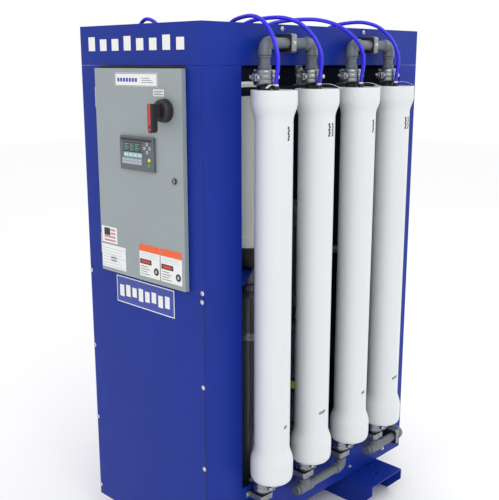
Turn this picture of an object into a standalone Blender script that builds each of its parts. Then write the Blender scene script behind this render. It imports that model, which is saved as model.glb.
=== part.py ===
"""Skid-mounted reverse osmosis unit: sheet-metal cabinet, control enclosure, four membrane
vessels with their grooved couplings and PVC crossovers, pump, prefilter and product line.

Metres, +Z up. The control enclosure faces -Y and the vessels stand along the +X side.
The origin is the centre of the unit's footprint, on the floor."""
import bpy
import bmesh
import math
from mathutils import Matrix, Vector

# ---------------------------------------------------------------- driving dimensions
CAB_W = 0.608            # cabinet width, X
CAB_D = 1.135            # cabinet depth, Y
CAB_H = 1.742            # cabinet height above the skid channels
SKID_H = 0.105           # height of the skid channels
SHEET = 0.003            # cabinet sheet
GAP = 0.0004             # clearance between neighbouring sheets
HEADER_H = 0.127         # height of the band round the top
VESSEL_X = 0.384         # axis plane of the vessels, from the cabinet's centre plane
VESSEL_Y = (-0.342, -0.134, 0.093, 0.303)
BODY_R, BELL_R = 0.0605, 0.0730
VESSEL_TOP, VESSEL_BOTTOM = 1.542, 0.238
PORT_X = VESSEL_X - 0.038                       # plane of the offset ports and PVC pipes
PORT_Y = (-0.3445, -0.1205, 0.0965, 0.3165)
PIPE_R, SOCKET_R = 0.0167, 0.0212               # 1 inch PVC pipe and its fittings
NIPPLE_R = 0.0205
COUPLING_H = 0.050
TOP_COUPLING_Z, BOTTOM_COUPLING_Z = 1.579, 0.203
TOP_PIPE_Z, BOTTOM_PIPE_Z = 1.683, 0.100
TUBE_R = 0.0064                                 # half-inch permeate tubing
LEVER_FRONT = 0.086                             # disconnect lever, out from the cabinet front

HW, HD = CAB_W / 2, CAB_D / 2
HEADER_Z = CAB_H - HEADER_H
SKIRT_H = 0.188
NEAR_POST_Y, FAR_POST_Y = -0.4035, 0.4580       # edges of the opening behind the vessels
SEAM_Z = 0.907                                  # top of the lower front panel
CAB_X = -(VESSEL_X + BELL_R - HW) / 2           # puts the origin mid-way across the footprint

MATERIALS = {
    "blue_paint": ((0.010, 0.030, 0.260), 0.35, 0.0),
    "enclosure_grey": ((0.340, 0.370, 0.380), 0.45, 0.0),
    "black_plastic": ((0.012, 0.012, 0.014), 0.45, 0.0),
    "red_plastic": ((0.600, 0.040, 0.020), 0.40, 0.0),
    "bezel_grey": ((0.180, 0.190, 0.200), 0.50, 0.0),
    "screen": ((0.015, 0.020, 0.018), 0.15, 0.0),
    "key_grey": ((0.300, 0.320, 0.350), 0.50, 0.0),
    "key_green": ((0.050, 0.450, 0.120), 0.40, 0.0),
    "key_yellow": ((0.800, 0.700, 0.080), 0.40, 0.0),
    "white_frp": ((0.760, 0.780, 0.800), 0.30, 0.0),
    "pvc_grey": ((0.190, 0.205, 0.210), 0.45, 0.0),
    "zinc_steel": ((0.560, 0.580, 0.590), 0.35, 0.9),
    "blue_tube": ((0.060, 0.040, 0.800), 0.35, 0.0),
    "steel": ((0.600, 0.610, 0.620), 0.25, 1.0),
    "motor_grey": ((0.045, 0.050, 0.060), 0.45, 0.0),
}


# ---------------------------------------------------------------- helpers
def clear_scene():
    for obj in list(bpy.data.objects):
        bpy.data.objects.remove(obj, do_unlink=True)


def material(name):
    if name in bpy.data.materials:
        return bpy.data.materials[name]
    colour, roughness, metallic = MATERIALS[name]
    mat = bpy.data.materials.new(name)
    mat.use_nodes = True
    shader = mat.node_tree.nodes["Principled BSDF"]
    shader.inputs["Base Color"].default_value = (*colour, 1.0)
    shader.inputs["Roughness"].default_value = roughness
    shader.inputs["Metallic"].default_value = metallic
    return mat


def add_object(name, bm, material_name, origin=(0, 0, 0)):
    """Make a node from a bmesh in cabinet coordinates, with its own origin at a point."""
    bmesh.ops.translate(bm, verts=bm.verts, vec=-Vector(origin))
    mesh = bpy.data.meshes.new(name)
    bm.to_mesh(mesh)
    bm.free()
    mesh.shade_smooth()
    mesh.set_sharp_from_angle(angle=math.radians(35))
    obj = bpy.data.objects.new(name, mesh)
    bpy.context.scene.collection.objects.link(obj)
    obj.data.materials.append(material(material_name))
    obj.parent = UNIT
    obj.location = origin
    return obj


def box(lo, hi, bm=None):
    bm = bm or bmesh.new()
    lo, hi = Vector(lo), Vector(hi)
    matrix = Matrix.Translation((lo + hi) / 2) @ Matrix.Diagonal((*(hi - lo), 1))
    bmesh.ops.create_cube(bm, size=1.0, matrix=matrix)
    return bm


def rod(start, end, radius, sides=12, bm=None):
    """A cylinder between two points."""
    bm = bm or bmesh.new()
    start, end = Vector(start), Vector(end)
    axis = end - start
    turn = axis.to_track_quat("Z", "Y").to_matrix().to_4x4()
    matrix = Matrix.Translation((start + end) / 2) @ turn
    bmesh.ops.create_cone(bm, cap_ends=True, segments=sides, radius1=radius, radius2=radius,
                          depth=axis.length, matrix=matrix)
    return bm


def turned(profile, sides=24, centre=(0, 0, 0)):
    """Revolve a closed (radius, height) outline about Z; an outline that starts and ends on
    the axis gives a solid, one clear of the axis gives a ring."""
    bm = bmesh.new()
    rings = []
    for radius, height in profile:
        if radius < 1e-6:
            rings.append([bm.verts.new((0, 0, height))])
            continue
        rings.append([bm.verts.new((radius * math.cos(2 * math.pi * i / sides),
                                    radius * math.sin(2 * math.pi * i / sides), height))
                      for i in range(sides)])
    closed = profile[0][0] > 1e-6
    pairs = list(zip(rings, rings[1:])) + ([(rings[-1], rings[0])] if closed else [])
    for a, b in pairs:
        for i in range(sides):
            j = (i + 1) % sides
            corners = [a[i % len(a)], a[j % len(a)], b[j % len(b)], b[i % len(b)]]
            unique = list(dict.fromkeys(corners))
            bm.faces.new(unique)
    bmesh.ops.recalc_face_normals(bm, faces=bm.faces)
    bmesh.ops.translate(bm, verts=bm.verts, vec=Vector(centre))
    return bm


def prism(outline, axis, low, high):
    """Extrude a closed 2-D outline along X, Y or Z."""
    order = {"X": lambda u, v, w: (w, u, v), "Y": lambda u, v, w: (u, w, v),
             "Z": lambda u, v, w: (u, v, w)}[axis]
    bm = bmesh.new()
    bottom = [bm.verts.new(order(u, v, low)) for u, v in outline]
    top = [bm.verts.new(order(u, v, high)) for u, v in outline]
    bm.faces.new(bottom)
    bm.faces.new(top)
    for i in range(len(outline)):
        j = (i + 1) % len(outline)
        bm.faces.new((bottom[i], bottom[j], top[j], top[i]))
    bmesh.ops.recalc_face_normals(bm, faces=bm.faces)
    return bm


def open_box(lo, hi, wall, axis, side):
    """A five-sided tray of sheet, open on one side (side -1 or +1 along axis 0, 1 or 2)."""
    lo, hi = Vector(lo), Vector(hi)
    inner_lo, inner_hi = lo + Vector((wall,) * 3), hi - Vector((wall,) * 3)
    if side > 0:
        inner_hi[axis] = hi[axis] + wall
    else:
        inner_lo[axis] = lo[axis] - wall
    return cut(box(lo, hi), box(inner_lo, inner_hi))


def temporary(bm):
    mesh = bpy.data.meshes.new("temporary")
    bm.to_mesh(mesh)
    bm.free()
    obj = bpy.data.objects.new("temporary", mesh)
    bpy.context.scene.collection.objects.link(obj)
    return obj


def boolean(base, tool, operation):
    """Combine two bmeshes with Blender's exact Boolean and return the result."""
    first, second = temporary(base), temporary(tool)
    modifier = first.modifiers.new("combine", "BOOLEAN")
    modifier.operation = operation
    modifier.solver = "EXACT"
    modifier.use_self = operation == "UNION"
    modifier.object = second
    evaluated = first.evaluated_get(bpy.context.evaluated_depsgraph_get())
    result = bmesh.new()
    result.from_mesh(evaluated.to_mesh())
    evaluated.to_mesh_clear()
    for obj in (first, second):
        mesh = obj.data
        bpy.data.objects.remove(obj, do_unlink=True)
        bpy.data.meshes.remove(mesh)
    bmesh.ops.remove_doubles(result, verts=result.verts, dist=1e-6)
    return result


def cut(base, tool):
    return boolean(base, tool, "DIFFERENCE")


def join(first, *others):
    for other in others:
        first = boolean(first, other, "UNION")
    return first


def moved(bm, offset=(0, 0, 0), turn=None):
    """A copy of a bmesh, turned and shifted."""
    copy = bm.copy()
    if turn:
        bmesh.ops.transform(copy, matrix=turn, verts=copy.verts)
    bmesh.ops.translate(copy, verts=copy.verts, vec=Vector(offset))
    return copy


def smooth_route(points, step):
    """Points at about one spacing along a smooth curve through the given points."""
    pts = [Vector(p) for p in points]
    ends = [2 * pts[0] - pts[1]] + pts + [2 * pts[-1] - pts[-2]]
    route = [pts[0]]
    for i in range(1, len(ends) - 2):
        p0, p1, p2, p3 = ends[i - 1:i + 3]
        count = max(1, round((p2 - p1).length / step))
        for k in range(1, count + 1):
            t = k / count
            route.append(0.5 * ((2 * p1) + (p2 - p0) * t + (2 * p0 - 5 * p1 + 4 * p2 - p3) * t ** 2
                                + (3 * p1 - p0 - 3 * p2 + p3) * t ** 3))
    return route


def sweep(stations, sides=12):
    """Sweep a circle along (point, tangent, radius) stations and cap both ends."""
    bm = bmesh.new()
    tangent = stations[0][1].normalized()
    normal = tangent.orthogonal().normalized()
    rings = []
    for point, direction, radius in stations:
        direction = direction.normalized()
        normal = (tangent.rotation_difference(direction) @ normal).normalized()
        tangent = direction
        side = tangent.cross(normal)
        rings.append([bm.verts.new(point + radius * (math.cos(a) * normal + math.sin(a) * side))
                      for a in (2 * math.pi * i / sides for i in range(sides))])
    for a, b in zip(rings, rings[1:]):
        for i in range(sides):
            j = (i + 1) % sides
            bm.faces.new((a[i], a[j], b[j], b[i]))
    bm.faces.new(rings[0])
    bm.faces.new(rings[-1])
    bmesh.ops.recalc_face_normals(bm, faces=bm.faces)
    return bm


def tube(points, radius, sides=8, step=0.024):
    route = smooth_route(points, step)
    stations = []
    for i, point in enumerate(route):
        before, after = route[max(i - 1, 0)], route[min(i + 1, len(route) - 1)]
        stations.append((point, after - before, radius))
    return sweep(stations, sides)


def pipe(corners, radius=PIPE_R, socket=SOCKET_R, bend=0.022, reach=0.024, collars=(), tail=(), sides=10):
    """Rigid pipe through corner points, with a glued elbow at each corner. The collars are
    (distance from the start, length, radius) bands round the pipe, and the tail ones are
    measured back from its end."""
    pts = [Vector(c) for c in corners]
    stations = []
    first = (pts[1] - pts[0]).normalized()
    stations.append((pts[0], first, radius))
    for distance, length, collar_r in collars:
        low, high = pts[0] + first * distance, pts[0] + first * (distance + length)
        if distance < 1e-6:
            stations = [(low, first, collar_r)]
        else:
            stations += [(low, first, radius), (low, first, collar_r)]
        stations += [(high, first, collar_r), (high, first, radius)]
    for a, b, c in zip(pts, pts[1:], pts[2:]):
        inward, outward = (b - a).normalized(), (c - b).normalized()
        start, end = b - inward * bend, b + outward * bend
        lip_in, lip_out = start - inward * reach, end + outward * reach
        stations += [(lip_in, inward, radius), (lip_in, inward, socket)]
        centre = start + outward * bend
        for k in range(4):
            angle = math.pi / 6 * k
            point = centre - outward * bend * math.cos(angle) + inward * bend * math.sin(angle)
            direction = inward * math.cos(angle) + outward * math.sin(angle)
            stations.append((point, direction, socket))
        stations += [(lip_out, outward, socket), (lip_out, outward, radius)]
    last = (pts[-1] - pts[-2]).normalized()
    for distance, length, collar_r in tail:
        low, high = pts[-1] - last * (distance + length), pts[-1] - last * distance
        stations += [(low, last, radius), (low, last, collar_r), (high, last, collar_r)]
        if distance > 1e-6:
            stations.append((high, last, radius))
    if not tail:
        stations.append((pts[-1], last, radius))
    return sweep(stations, sides)


# ---------------------------------------------------------------- skid and cabinet
def make_skid_channels():
    """Inverted channels under the cabinet, chamfered at both ends, that a fork lifts by."""
    half, wall, reach, edge = 0.1025, 0.006, 0.429, 0.043
    hole_x = 0.372
    slope = SKID_H - edge
    top = -GAP
    outline = [(-HW, top), (reach, top), (reach, -edge), (reach - slope, -SKID_H),
               (-HW + slope, -SKID_H), (-HW, -edge)]
    for name, y in (("skid_channel_near", -0.2975), ("skid_channel_far", 0.2975)):
        body = prism(outline, "Y", y - half, y + half)
        inside = box((-HW - 0.01, y - half + wall, -SKID_H - 0.01),
                     (reach + 0.01, y + half - wall, top - wall))
        hole = rod((hole_x, y, -0.02), (hole_x, y, 0.02), 0.009)
        add_object(name, cut(cut(body, inside), hole), "blue_paint")


def make_base_pan():
    """Floor of the cabinet with its skirt turned up under the vessels."""
    back, left = HD - 0.0188, -HW + 0.0188
    lip = 0.030
    inner = HW - SHEET - GAP
    floor = box((left, -back, 0), (inner, back, SHEET))
    walls = [box((left, -back, 0), (left + SHEET, back, lip)),
             box((left, -back, 0), (inner, -back + SHEET, lip)),
             box((left, back - SHEET, 0), (inner, back, lip)),
             box((inner - SHEET, NEAR_POST_Y + GAP, 0), (HW, FAR_POST_Y - GAP, SHEET)),
             box((HW - SHEET, NEAR_POST_Y + GAP, 0), (HW, FAR_POST_Y - GAP, SKIRT_H))]
    pan = join(floor, *walls)
    pan = cut(pan, rod((HW - 0.02, PORT_Y[0], BOTTOM_PIPE_Z), (HW + 0.02, PORT_Y[0], BOTTOM_PIPE_Z),
                       0.021, 16))
    add_object("base_pan", pan, "blue_paint")


def make_side_panels():
    """Posts of folded sheet at each end of the opening on the vessel side."""
    fold = 0.036
    inner = HW - SHEET
    near = join(box((inner, -HD, 0), (HW, NEAR_POST_Y, HEADER_Z - GAP)),
                box((inner - fold, NEAR_POST_Y - SHEET, SKIRT_H), (HW, NEAR_POST_Y, HEADER_Z - GAP)),
                prism([(0.095, NEAR_POST_Y - SHEET), (inner - 0.001, NEAR_POST_Y - SHEET),
                       (inner - 0.001, NEAR_POST_Y + 0.020), (FILTER[0] + 0.045, FILTER[1] - 0.025),
                       (0.095, FILTER[1] - 0.025)], "Z", 0.9150, 0.9210),
                box((0.150, NEAR_POST_Y - SHEET, 0.855), (0.154, FILTER[1] - 0.060, 0.9155)),
                box((0.095, NEAR_POST_Y - SHEET, 0.855), (inner - 0.010, NEAR_POST_Y, 0.9155)))
    add_object("near_side_panel", near, "blue_paint")
    far = join(box((inner, FAR_POST_Y, 0), (HW, HD, HEADER_Z - GAP)),
               box((inner - fold, FAR_POST_Y, SKIRT_H), (HW, FAR_POST_Y + SHEET, HEADER_Z - GAP)))
    outlet = rod((HW - 0.02, OUTLET_Y, BOTTOM_PIPE_Z), (HW + 0.02, OUTLET_Y, BOTTOM_PIPE_Z), 0.021, 16)
    add_object("far_side_panel", cut(far, outlet), "blue_paint")


PANEL_REVEAL = 0.0030                  # extra gap that shows as a dark line at the corner


def make_front():
    """Sheet round the enclosure with the fixed halves of the door's hinges welded to it, and
    the screwed-on panel below it."""
    right = HW - SHEET - GAP
    z0, z1 = SEAM_Z + GAP, HEADER_Z - GAP
    hole_l, hole_r, hole_z = DOOR_L + 0.0045, DOOR_R - 0.0045, DOOR_B + 0.0045
    outline = [(-HW, z0), (right, z0), (right, z1), (hole_r, z1), (hole_r, hole_z),
               (hole_l, hole_z), (hole_l, z1), (-HW, z1)]
    sheet = join(prism(outline, "Y", -HD, -HD + SHEET),
                 box((-HW, -HD + 0.001, z0), (-HW + SHEET, -HD + 0.018, z1)))
    x, y = HINGE
    for z in HINGE_Z:
        sheet = join(sheet, box((x - 0.0085, y, z - 0.034), (x - 0.0015, -HD + 0.001, z - 0.0206)),
                     box((x - 0.0085, y, z + 0.0206), (x - 0.0015, -HD + 0.001, z + 0.034)))
        barrel = turned([(0, z - 0.034), (0.0055, z - 0.034), (0.0055, z - 0.0206), (0.0030, z - 0.0206),
                         (0.0030, z + 0.0206), (0.0055, z + 0.0206), (0.0055, z + 0.034), (0, z + 0.034)],
                        12, (x, y, 0))
        sheet = join(sheet, barrel)
    add_object("front_surround", sheet, "blue_paint")
    panel = open_box((-HW, -HD, 0), (right - PANEL_REVEAL, -HD + 0.018, SEAM_Z), SHEET, 1, 1)
    add_object("lower_front_panel", panel, "blue_paint")


def make_left_and_back():
    y = HD - 0.0184
    add_object("left_side_panel",
               open_box((-HW, -y, 0), (-HW + 0.018, y, HEADER_Z - GAP), SHEET, 0, 1), "blue_paint")
    back = open_box((-HW, HD - 0.018, 0), (HW - SHEET - GAP, HD, HEADER_Z - GAP), SHEET, 1, -1)
    for x, z in BACK_PORTS:
        back = cut(back, rod((x, HD - 0.01, z), (x, HD + 0.01, z), 0.021, 16))
    add_object("back_panel", back, "blue_paint")


def make_header():
    """Band of sheet round the open top of the cabinet."""
    outer = box((-HW, -HD, HEADER_Z), (HW, HD, CAB_H))
    inner = box((-HW + SHEET, -HD + SHEET, HEADER_Z - 0.01), (HW - SHEET, HD - SHEET, CAB_H + 0.01))
    band = cut(outer, inner)
    add_object("header_band", band, "blue_paint")


# ---------------------------------------------------------------- control enclosure
DOOR_L, DOOR_R, DOOR_B, DOOR_T = -0.203, 0.234, 0.917, 1.606
DOOR_FRONT = -HD - 0.019
DOOR_DEPTH = 0.0168
HINGE = (DOOR_L - 0.0072, DOOR_FRONT + 0.0100)
HINGE_Z = (1.010, 1.510)
KNOB = (0.160, 1.480)
LATCH = (0.194, 1.265)
OUTLET_Y = 0.505
BACK_PORTS = ((0.215, BOTTOM_PIPE_Z), (-0.200, 0.300), (-0.070, 0.820))
BOX_BACK = -0.400


def make_enclosure():
    inset = 0.008
    lo = (DOOR_L + inset, -HD - 0.0115, DOOR_B + inset)
    hi = (DOOR_R - inset, BOX_BACK, DOOR_T - inset)
    shell = open_box(lo, hi, 0.002, 1, -1)
    flange_y = -HD + SHEET + GAP
    flange = cut(box((lo[0] - 0.016, flange_y, lo[2] - 0.012), (hi[0] + 0.016, flange_y + 0.003, hi[2] + 0.008)),
                 box((lo[0] + 0.001, flange_y - 0.01, lo[2] + 0.001), (hi[0] - 0.001, flange_y + 0.01, hi[2] - 0.001)))
    add_object("enclosure_box", join(shell, flange), "enclosure_grey")
    switch_y = BOX_BACK - 0.002 - GAP
    switch = join(box((KNOB[0] - 0.034, switch_y - 0.062, KNOB[1] - 0.045),
                      (KNOB[0] + 0.034, switch_y, KNOB[1] + 0.045)),
                  rod((KNOB[0], switch_y - 0.060, KNOB[1]), (KNOB[0], -HD + 0.006, KNOB[1]), 0.005, 8))
    add_object("disconnect_switch", switch, "black_plastic")


def make_door():
    """Shallow tray door with its hinge knuckles, hung on pins at its left edge."""
    back = DOOR_FRONT + DOOR_DEPTH
    door = open_box((DOOR_L, DOOR_FRONT, DOOR_B), (DOOR_R, back, DOOR_T), 0.002, 1, 1)
    for z in HINGE_Z:
        knuckle = turned([(0.0034, z - 0.020), (0.0055, z - 0.020), (0.0055, z + 0.020), (0.0034, z + 0.020)],
                         16, (HINGE[0], HINGE[1], 0))
        tab = box((HINGE[0] + 0.0042, HINGE[1] - 0.002, z - 0.018), (DOOR_L + 0.001, HINGE[1] + 0.002, z + 0.018))
        door = join(door, join(knuckle, tab))
    door = cut(door, rod((KNOB[0], DOOR_FRONT - 0.01, KNOB[1]), (KNOB[0], DOOR_FRONT + 0.01, KNOB[1]), 0.0115, 16))
    door = cut(door, rod((LATCH[0], DOOR_FRONT - 0.01, LATCH[1]), (LATCH[0], DOOR_FRONT + 0.01, LATCH[1]), 0.0064, 12))
    x0, x1, z0, z1 = CONTROLLER
    door = cut(door, box((x0 + 0.0125, DOOR_FRONT - 0.01, z0 + 0.0125), (x1 - 0.0125, DOOR_FRONT + 0.01, z1 - 0.0125)))
    add_object("enclosure_door", door, "enclosure_grey", (HINGE[0], HINGE[1], 0))


def make_latch_and_handle():
    """Quarter-turn latch with its cam, and the pistol-grip handle of the main disconnect."""
    x, z = LATCH
    front = DOOR_FRONT - GAP
    latch = join(rod((x, front - 0.007, z), (x, front, z), 0.0095, 16),
                 rod((x, front - 0.001, z), (x, DOOR_FRONT + 0.014, z), 0.0058, 12),
                 box((x - 0.007, DOOR_FRONT + 0.010, z - 0.006), (DOOR_R - 0.0125, DOOR_FRONT + 0.0135, z + 0.006)))
    add_object("door_latch", latch, "steel", (x, DOOR_FRONT, z))
    x, z = KNOB
    lever_y = -HD - LEVER_FRONT
    hub_back = front
    hub = turned([(0, 0), (0.036, 0), (0.036, 0.020), (0.031, 0.029), (0, 0.029)], 20)
    hub = moved(hub, (x, hub_back, z), Matrix.Rotation(math.radians(90), 4, "X"))
    low, high, half = z - 0.055, z + 0.023, 0.0100
    outline = [(-half, high)] + [(half * math.cos(math.radians(a)), low + half * math.sin(math.radians(a)))
                                 for a in range(180, 361, 30)] + [(half, high)]
    outline = [(x + u, v) for u, v in outline]
    lever = prism(outline, "Y", lever_y, lever_y + 0.026)
    root = box((x - half * 0.9, lever_y + 0.022, z - 0.020), (x + half * 0.9, hub_back - 0.020, z + 0.022))
    stub = rod((x, hub_back - 0.002, z), (x, DOOR_FRONT + 0.0125, z), 0.0108, 16)
    add_object("disconnect_handle", join(hub, lever, root, stub), "black_plastic", (x, DOOR_FRONT, z))


CONTROLLER = (-0.067, 0.105, 1.284, 1.393)
SCREEN = (-0.048, 0.045, 1.344, 1.373)
ARROW_CENTRE = (0.0735, 1.3590)
KEYS = {"key_up": (0.0, 0.0125), "key_down": (0.0, -0.0125), "key_left": (-0.0125, 0.0),
        "key_right": (0.0125, 0.0)}
ROUND_KEYS = {"key_alarm": ((0.082, 1.3215), "key_yellow"), "key_run": ((0.082, 1.3035), "key_green")}


def make_controller():
    """Panel controller set through the door, with a screen and sprung keys in their pockets."""
    x0, x1, z0, z1 = CONTROLLER
    back = DOOR_FRONT - GAP
    front = back - 0.008
    origin = (HINGE[0], HINGE[1], 0)
    housing = join(box((x0, front, z0), (x1, back, z1)),
                   box((x0 + 0.013, back - 0.001, z0 + 0.013), (x1 - 0.013, DOOR_FRONT + 0.038, z1 - 0.013)))
    sx0, sx1, sz0, sz1 = SCREEN
    housing = cut(housing, box((sx0, front - 0.01, sz0), (sx1, front + 0.0025, sz1)))
    cx, cz = ARROW_CENTRE
    size, slack, depth = 0.0052, 0.0005, 0.0048
    for dx, dz in KEYS.values():
        pocket = box((cx + dx - size - slack, front - 0.01, cz + dz - size - slack),
                     (cx + dx + size + slack, front + depth, cz + dz + size + slack))
        housing = cut(housing, pocket)
    for (kx, kz), _ in ROUND_KEYS.values():
        housing = cut(housing, rod((kx, front - 0.01, kz), (kx, front + depth, kz), 0.0064, 16))
    add_object("controller_housing", housing, "bezel_grey", origin)
    add_object("controller_screen", box((sx0 + GAP, front + 0.0006, sz0 + GAP),
                                        (sx1 - GAP, front + 0.0021, sz1 - GAP)), "screen", origin)
    for name, (dx, dz) in KEYS.items():
        kx, kz = cx + dx, cz + dz
        key = box((kx - size, front - 0.0018, kz - size), (kx + size, front + 0.0030, kz + size))
        add_object(name, key, "key_grey", (kx, front, kz))
    for name, ((kx, kz), colour) in ROUND_KEYS.items():
        key = rod((kx, front - 0.0018, kz), (kx, front + 0.0030, kz), 0.0058, 16)
        add_object(name, key, colour, (kx, front, kz))


# ---------------------------------------------------------------- membrane vessels
def make_vessels():
    """Belled white shells closed at the foot, each with a top cap that carries its element."""
    top, bottom, bore, bell_bore = VESSEL_TOP, VESSEL_BOTTOM, 0.0515, 0.0625
    outer = [(0, bottom + 0.022), (bell_bore, bottom + 0.022), (bell_bore, bottom + 0.004),
             (0.0640, bottom), (0.0690, bottom + 0.006), (0.0722, bottom + 0.016),
             (BELL_R, bottom + 0.030), (BELL_R, bottom + 0.070), (0.0700, bottom + 0.088),
             (0.0640, bottom + 0.108), (BODY_R, bottom + 0.122), (BODY_R, top - 0.088),
             (0.0645, top - 0.074), (0.0705, top - 0.056), (BELL_R, top - 0.044), (BELL_R, top - 0.003),
             (0.0700, top), (bell_bore, top)]
    inner = [(bell_bore, top - 0.070), (bore, top - 0.085), (bore, bottom + 0.110), (0, bottom + 0.110)]
    plug = [(0, bottom + 0.116), (0.0490, bottom + 0.116), (0.0490, top - 0.105), (0.0120, top - 0.105),
            (0.0120, top - 0.068), (0.0605, top - 0.068), (0.0605, top - 0.022), (0, top - 0.022)]
    for number, (y, port_y) in enumerate(zip(VESSEL_Y, PORT_Y), start=1):
        port, permeate = (PORT_X, port_y), (VESSEL_X + 0.007, y)
        shell = turned(outer + inner, 20, (VESSEL_X, y, 0))
        foot = rod((*port, BOTTOM_COUPLING_Z + 0.001), (*port, bottom + 0.030), NIPPLE_R, 12)
        add_object(f"vessel_shell_{number}", join(shell, foot), "white_frp")
        cap = join(turned(plug, 16, (VESSEL_X, y, 0)),
                   rod((*port, top - 0.030), (*port, TOP_COUPLING_Z - 0.001), NIPPLE_R, 12),
                   turned([(0, top - 0.030), (0.0115, top - 0.030), (0.0115, top - 0.002),
                           (0.0095, top + 0.010), (0, top + 0.010)], 10, (*permeate, 0)))
        add_object(f"vessel_top_cap_{number}", cap, "black_plastic")


def coupling():
    """Two-bolt grooved coupling about Z, its bolt pads on the Y axis."""
    half = COUPLING_H / 2
    ring = turned([(0.0220, -half), (0.0320, -half), (0.0360, -half + 0.006), (0.0360, half - 0.006),
                   (0.0320, half), (0.0220, half)], 14)
    pads = cut(box((-0.012, -0.051, -0.012), (0.012, 0.051, 0.012)), rod((0, 0, -0.03), (0, 0, 0.03), 0.0300, 10))
    part = join(ring, pads)
    for y in (-0.044, 0.044):
        part = join(part, rod((-0.021, y, 0), (0.021, y, 0), 0.0062, 6))
    return part


def make_couplings():
    """One coupling over each top port with its bolts fore and aft, one under each foot."""
    source = coupling()
    across = Matrix.Rotation(math.radians(90), 4, "Z")
    for number, y in enumerate(PORT_Y, start=1):
        add_object(f"top_coupling_{number}", moved(source, (PORT_X, y, TOP_COUPLING_Z)), "zinc_steel")
        add_object(f"bottom_coupling_{number}", moved(source, (PORT_X, y, BOTTOM_COUPLING_Z), across),
                   "zinc_steel")
    source.free()


# ---------------------------------------------------------------- pipework
def make_crossovers():
    """U-shaped PVC pipes from vessel to vessel over the top, and one along the bottom."""
    start_z = TOP_COUPLING_Z + 0.003
    end_bands = ((0.0, 0.034, NIPPLE_R), (0.056, 0.006, 0.0200))
    for name, y0, y1 in (("crossover_front", PORT_Y[0], PORT_Y[1]), ("crossover_rear", PORT_Y[2], PORT_Y[3])):
        corners = [(PORT_X, y0, start_z), (PORT_X, y0, TOP_PIPE_Z), (PORT_X, y1, TOP_PIPE_Z), (PORT_X, y1, start_z)]
        add_object(name, pipe(corners, reach=0.016, collars=end_bands, tail=end_bands[::-1]), "pvc_grey")
    end_z = BOTTOM_COUPLING_Z - 0.003
    bottom = pipe([(PORT_X, PORT_Y[2], end_z), (PORT_X, PORT_Y[2], BOTTOM_PIPE_Z),
                   (PORT_X, PORT_Y[1] - 0.050, BOTTOM_PIPE_Z)], reach=0.014, collars=((0.0, 0.024, NIPPLE_R),))
    add_object("crossover_bottom", join(bottom, tee_branch(PORT_Y[1], end_z)), "pvc_grey")


def tee_branch(y, end_z):
    """Upright branch with its tee body round the pipe below."""
    low = BOTTOM_PIPE_Z
    branch = turned([(0, low + 0.004), (0.0200, low + 0.004), (0.0200, low + 0.034), (PIPE_R, low + 0.034),
                     (PIPE_R, end_z - 0.024), (NIPPLE_R, end_z - 0.024), (NIPPLE_R, end_z), (0, end_z)],
                    12, (PORT_X, y, 0))
    return join(rod((PORT_X, y - 0.036, low), (PORT_X, y + 0.036, low), SOCKET_R, 12), branch)


def make_end_pipes():
    """Feed pipe from the pump to the first vessel, and the concentrate pipe to the back."""
    end_z = BOTTOM_COUPLING_Z - 0.003
    feed = pipe([(PORT_X, PORT_Y[0], end_z), (PORT_X, PORT_Y[0], BOTTOM_PIPE_Z),
                 (FEED_X, PORT_Y[0], BOTTOM_PIPE_Z), (FEED_X, PUMP[1] - PUMP_PORT, BOTTOM_PIPE_Z)],
                reach=0.014, collars=((0.0, 0.024, NIPPLE_R),))
    add_object("feed_pipe", feed, "pvc_grey")
    port_x = BACK_PORTS[0][0]
    drain = pipe([(PORT_X, PORT_Y[3] - 0.050, BOTTOM_PIPE_Z), (PORT_X, OUTLET_Y, BOTTOM_PIPE_Z),
                  (port_x, OUTLET_Y, BOTTOM_PIPE_Z), (port_x, HD + LEVER_FRONT, BOTTOM_PIPE_Z)],
                 bend=0.023, reach=0.010)
    add_object("concentrate_pipe", join(drain, tee_branch(PORT_Y[3], end_z)), "pvc_grey")


def make_clamps():
    """Cushion blocks with their straps that hold the crossovers off the header band."""
    front = PORT_X + PIPE_R + 0.0045
    z, half = TOP_PIPE_Z, 0.0125
    spans = (("pipe_clamp_front", PORT_Y[0], PORT_Y[1]), ("pipe_clamp_rear", PORT_Y[2], PORT_Y[3]))
    for name, y0, y1 in spans:
        y = (y0 + y1) / 2
        block = box((HW + GAP, y - half, z - 0.0265), (front, y + half, z + 0.0265))
        block = cut(block, rod((PORT_X, y - 0.05, z), (PORT_X, y + 0.05, z), PIPE_R + 0.0007, 16))
        strap = strap_about_y(y, z, 0.030, half - 0.0005, front - 0.0006, 0.0028)
        add_object(name, join(block, strap), "zinc_steel")


def strap_about_y(y, z, half_height, half_width, front, thickness):
    """U-shaped strap over a pipe that runs along Y."""
    back, inner = HW + 0.010, half_height - thickness - 0.0008
    outline = [(back, z - half_height), (front + thickness, z - half_height), (front + thickness, z + half_height),
               (back, z + half_height), (back, z + inner), (front, z + inner), (front, z - inner),
               (back, z - inner)]
    return prism(outline, "Y", y - half_width, y + half_width)


# ---------------------------------------------------------------- permeate side
MANIFOLD_X, MANIFOLD_Z = 0.165, 1.630
MANIFOLD_Y = (-0.342, -0.298, -0.205, 0.135)
MANIFOLD_R = 0.0134
PRODUCT_X, PRODUCT_Y = -0.105, -0.372
METER_X = -0.255


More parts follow.
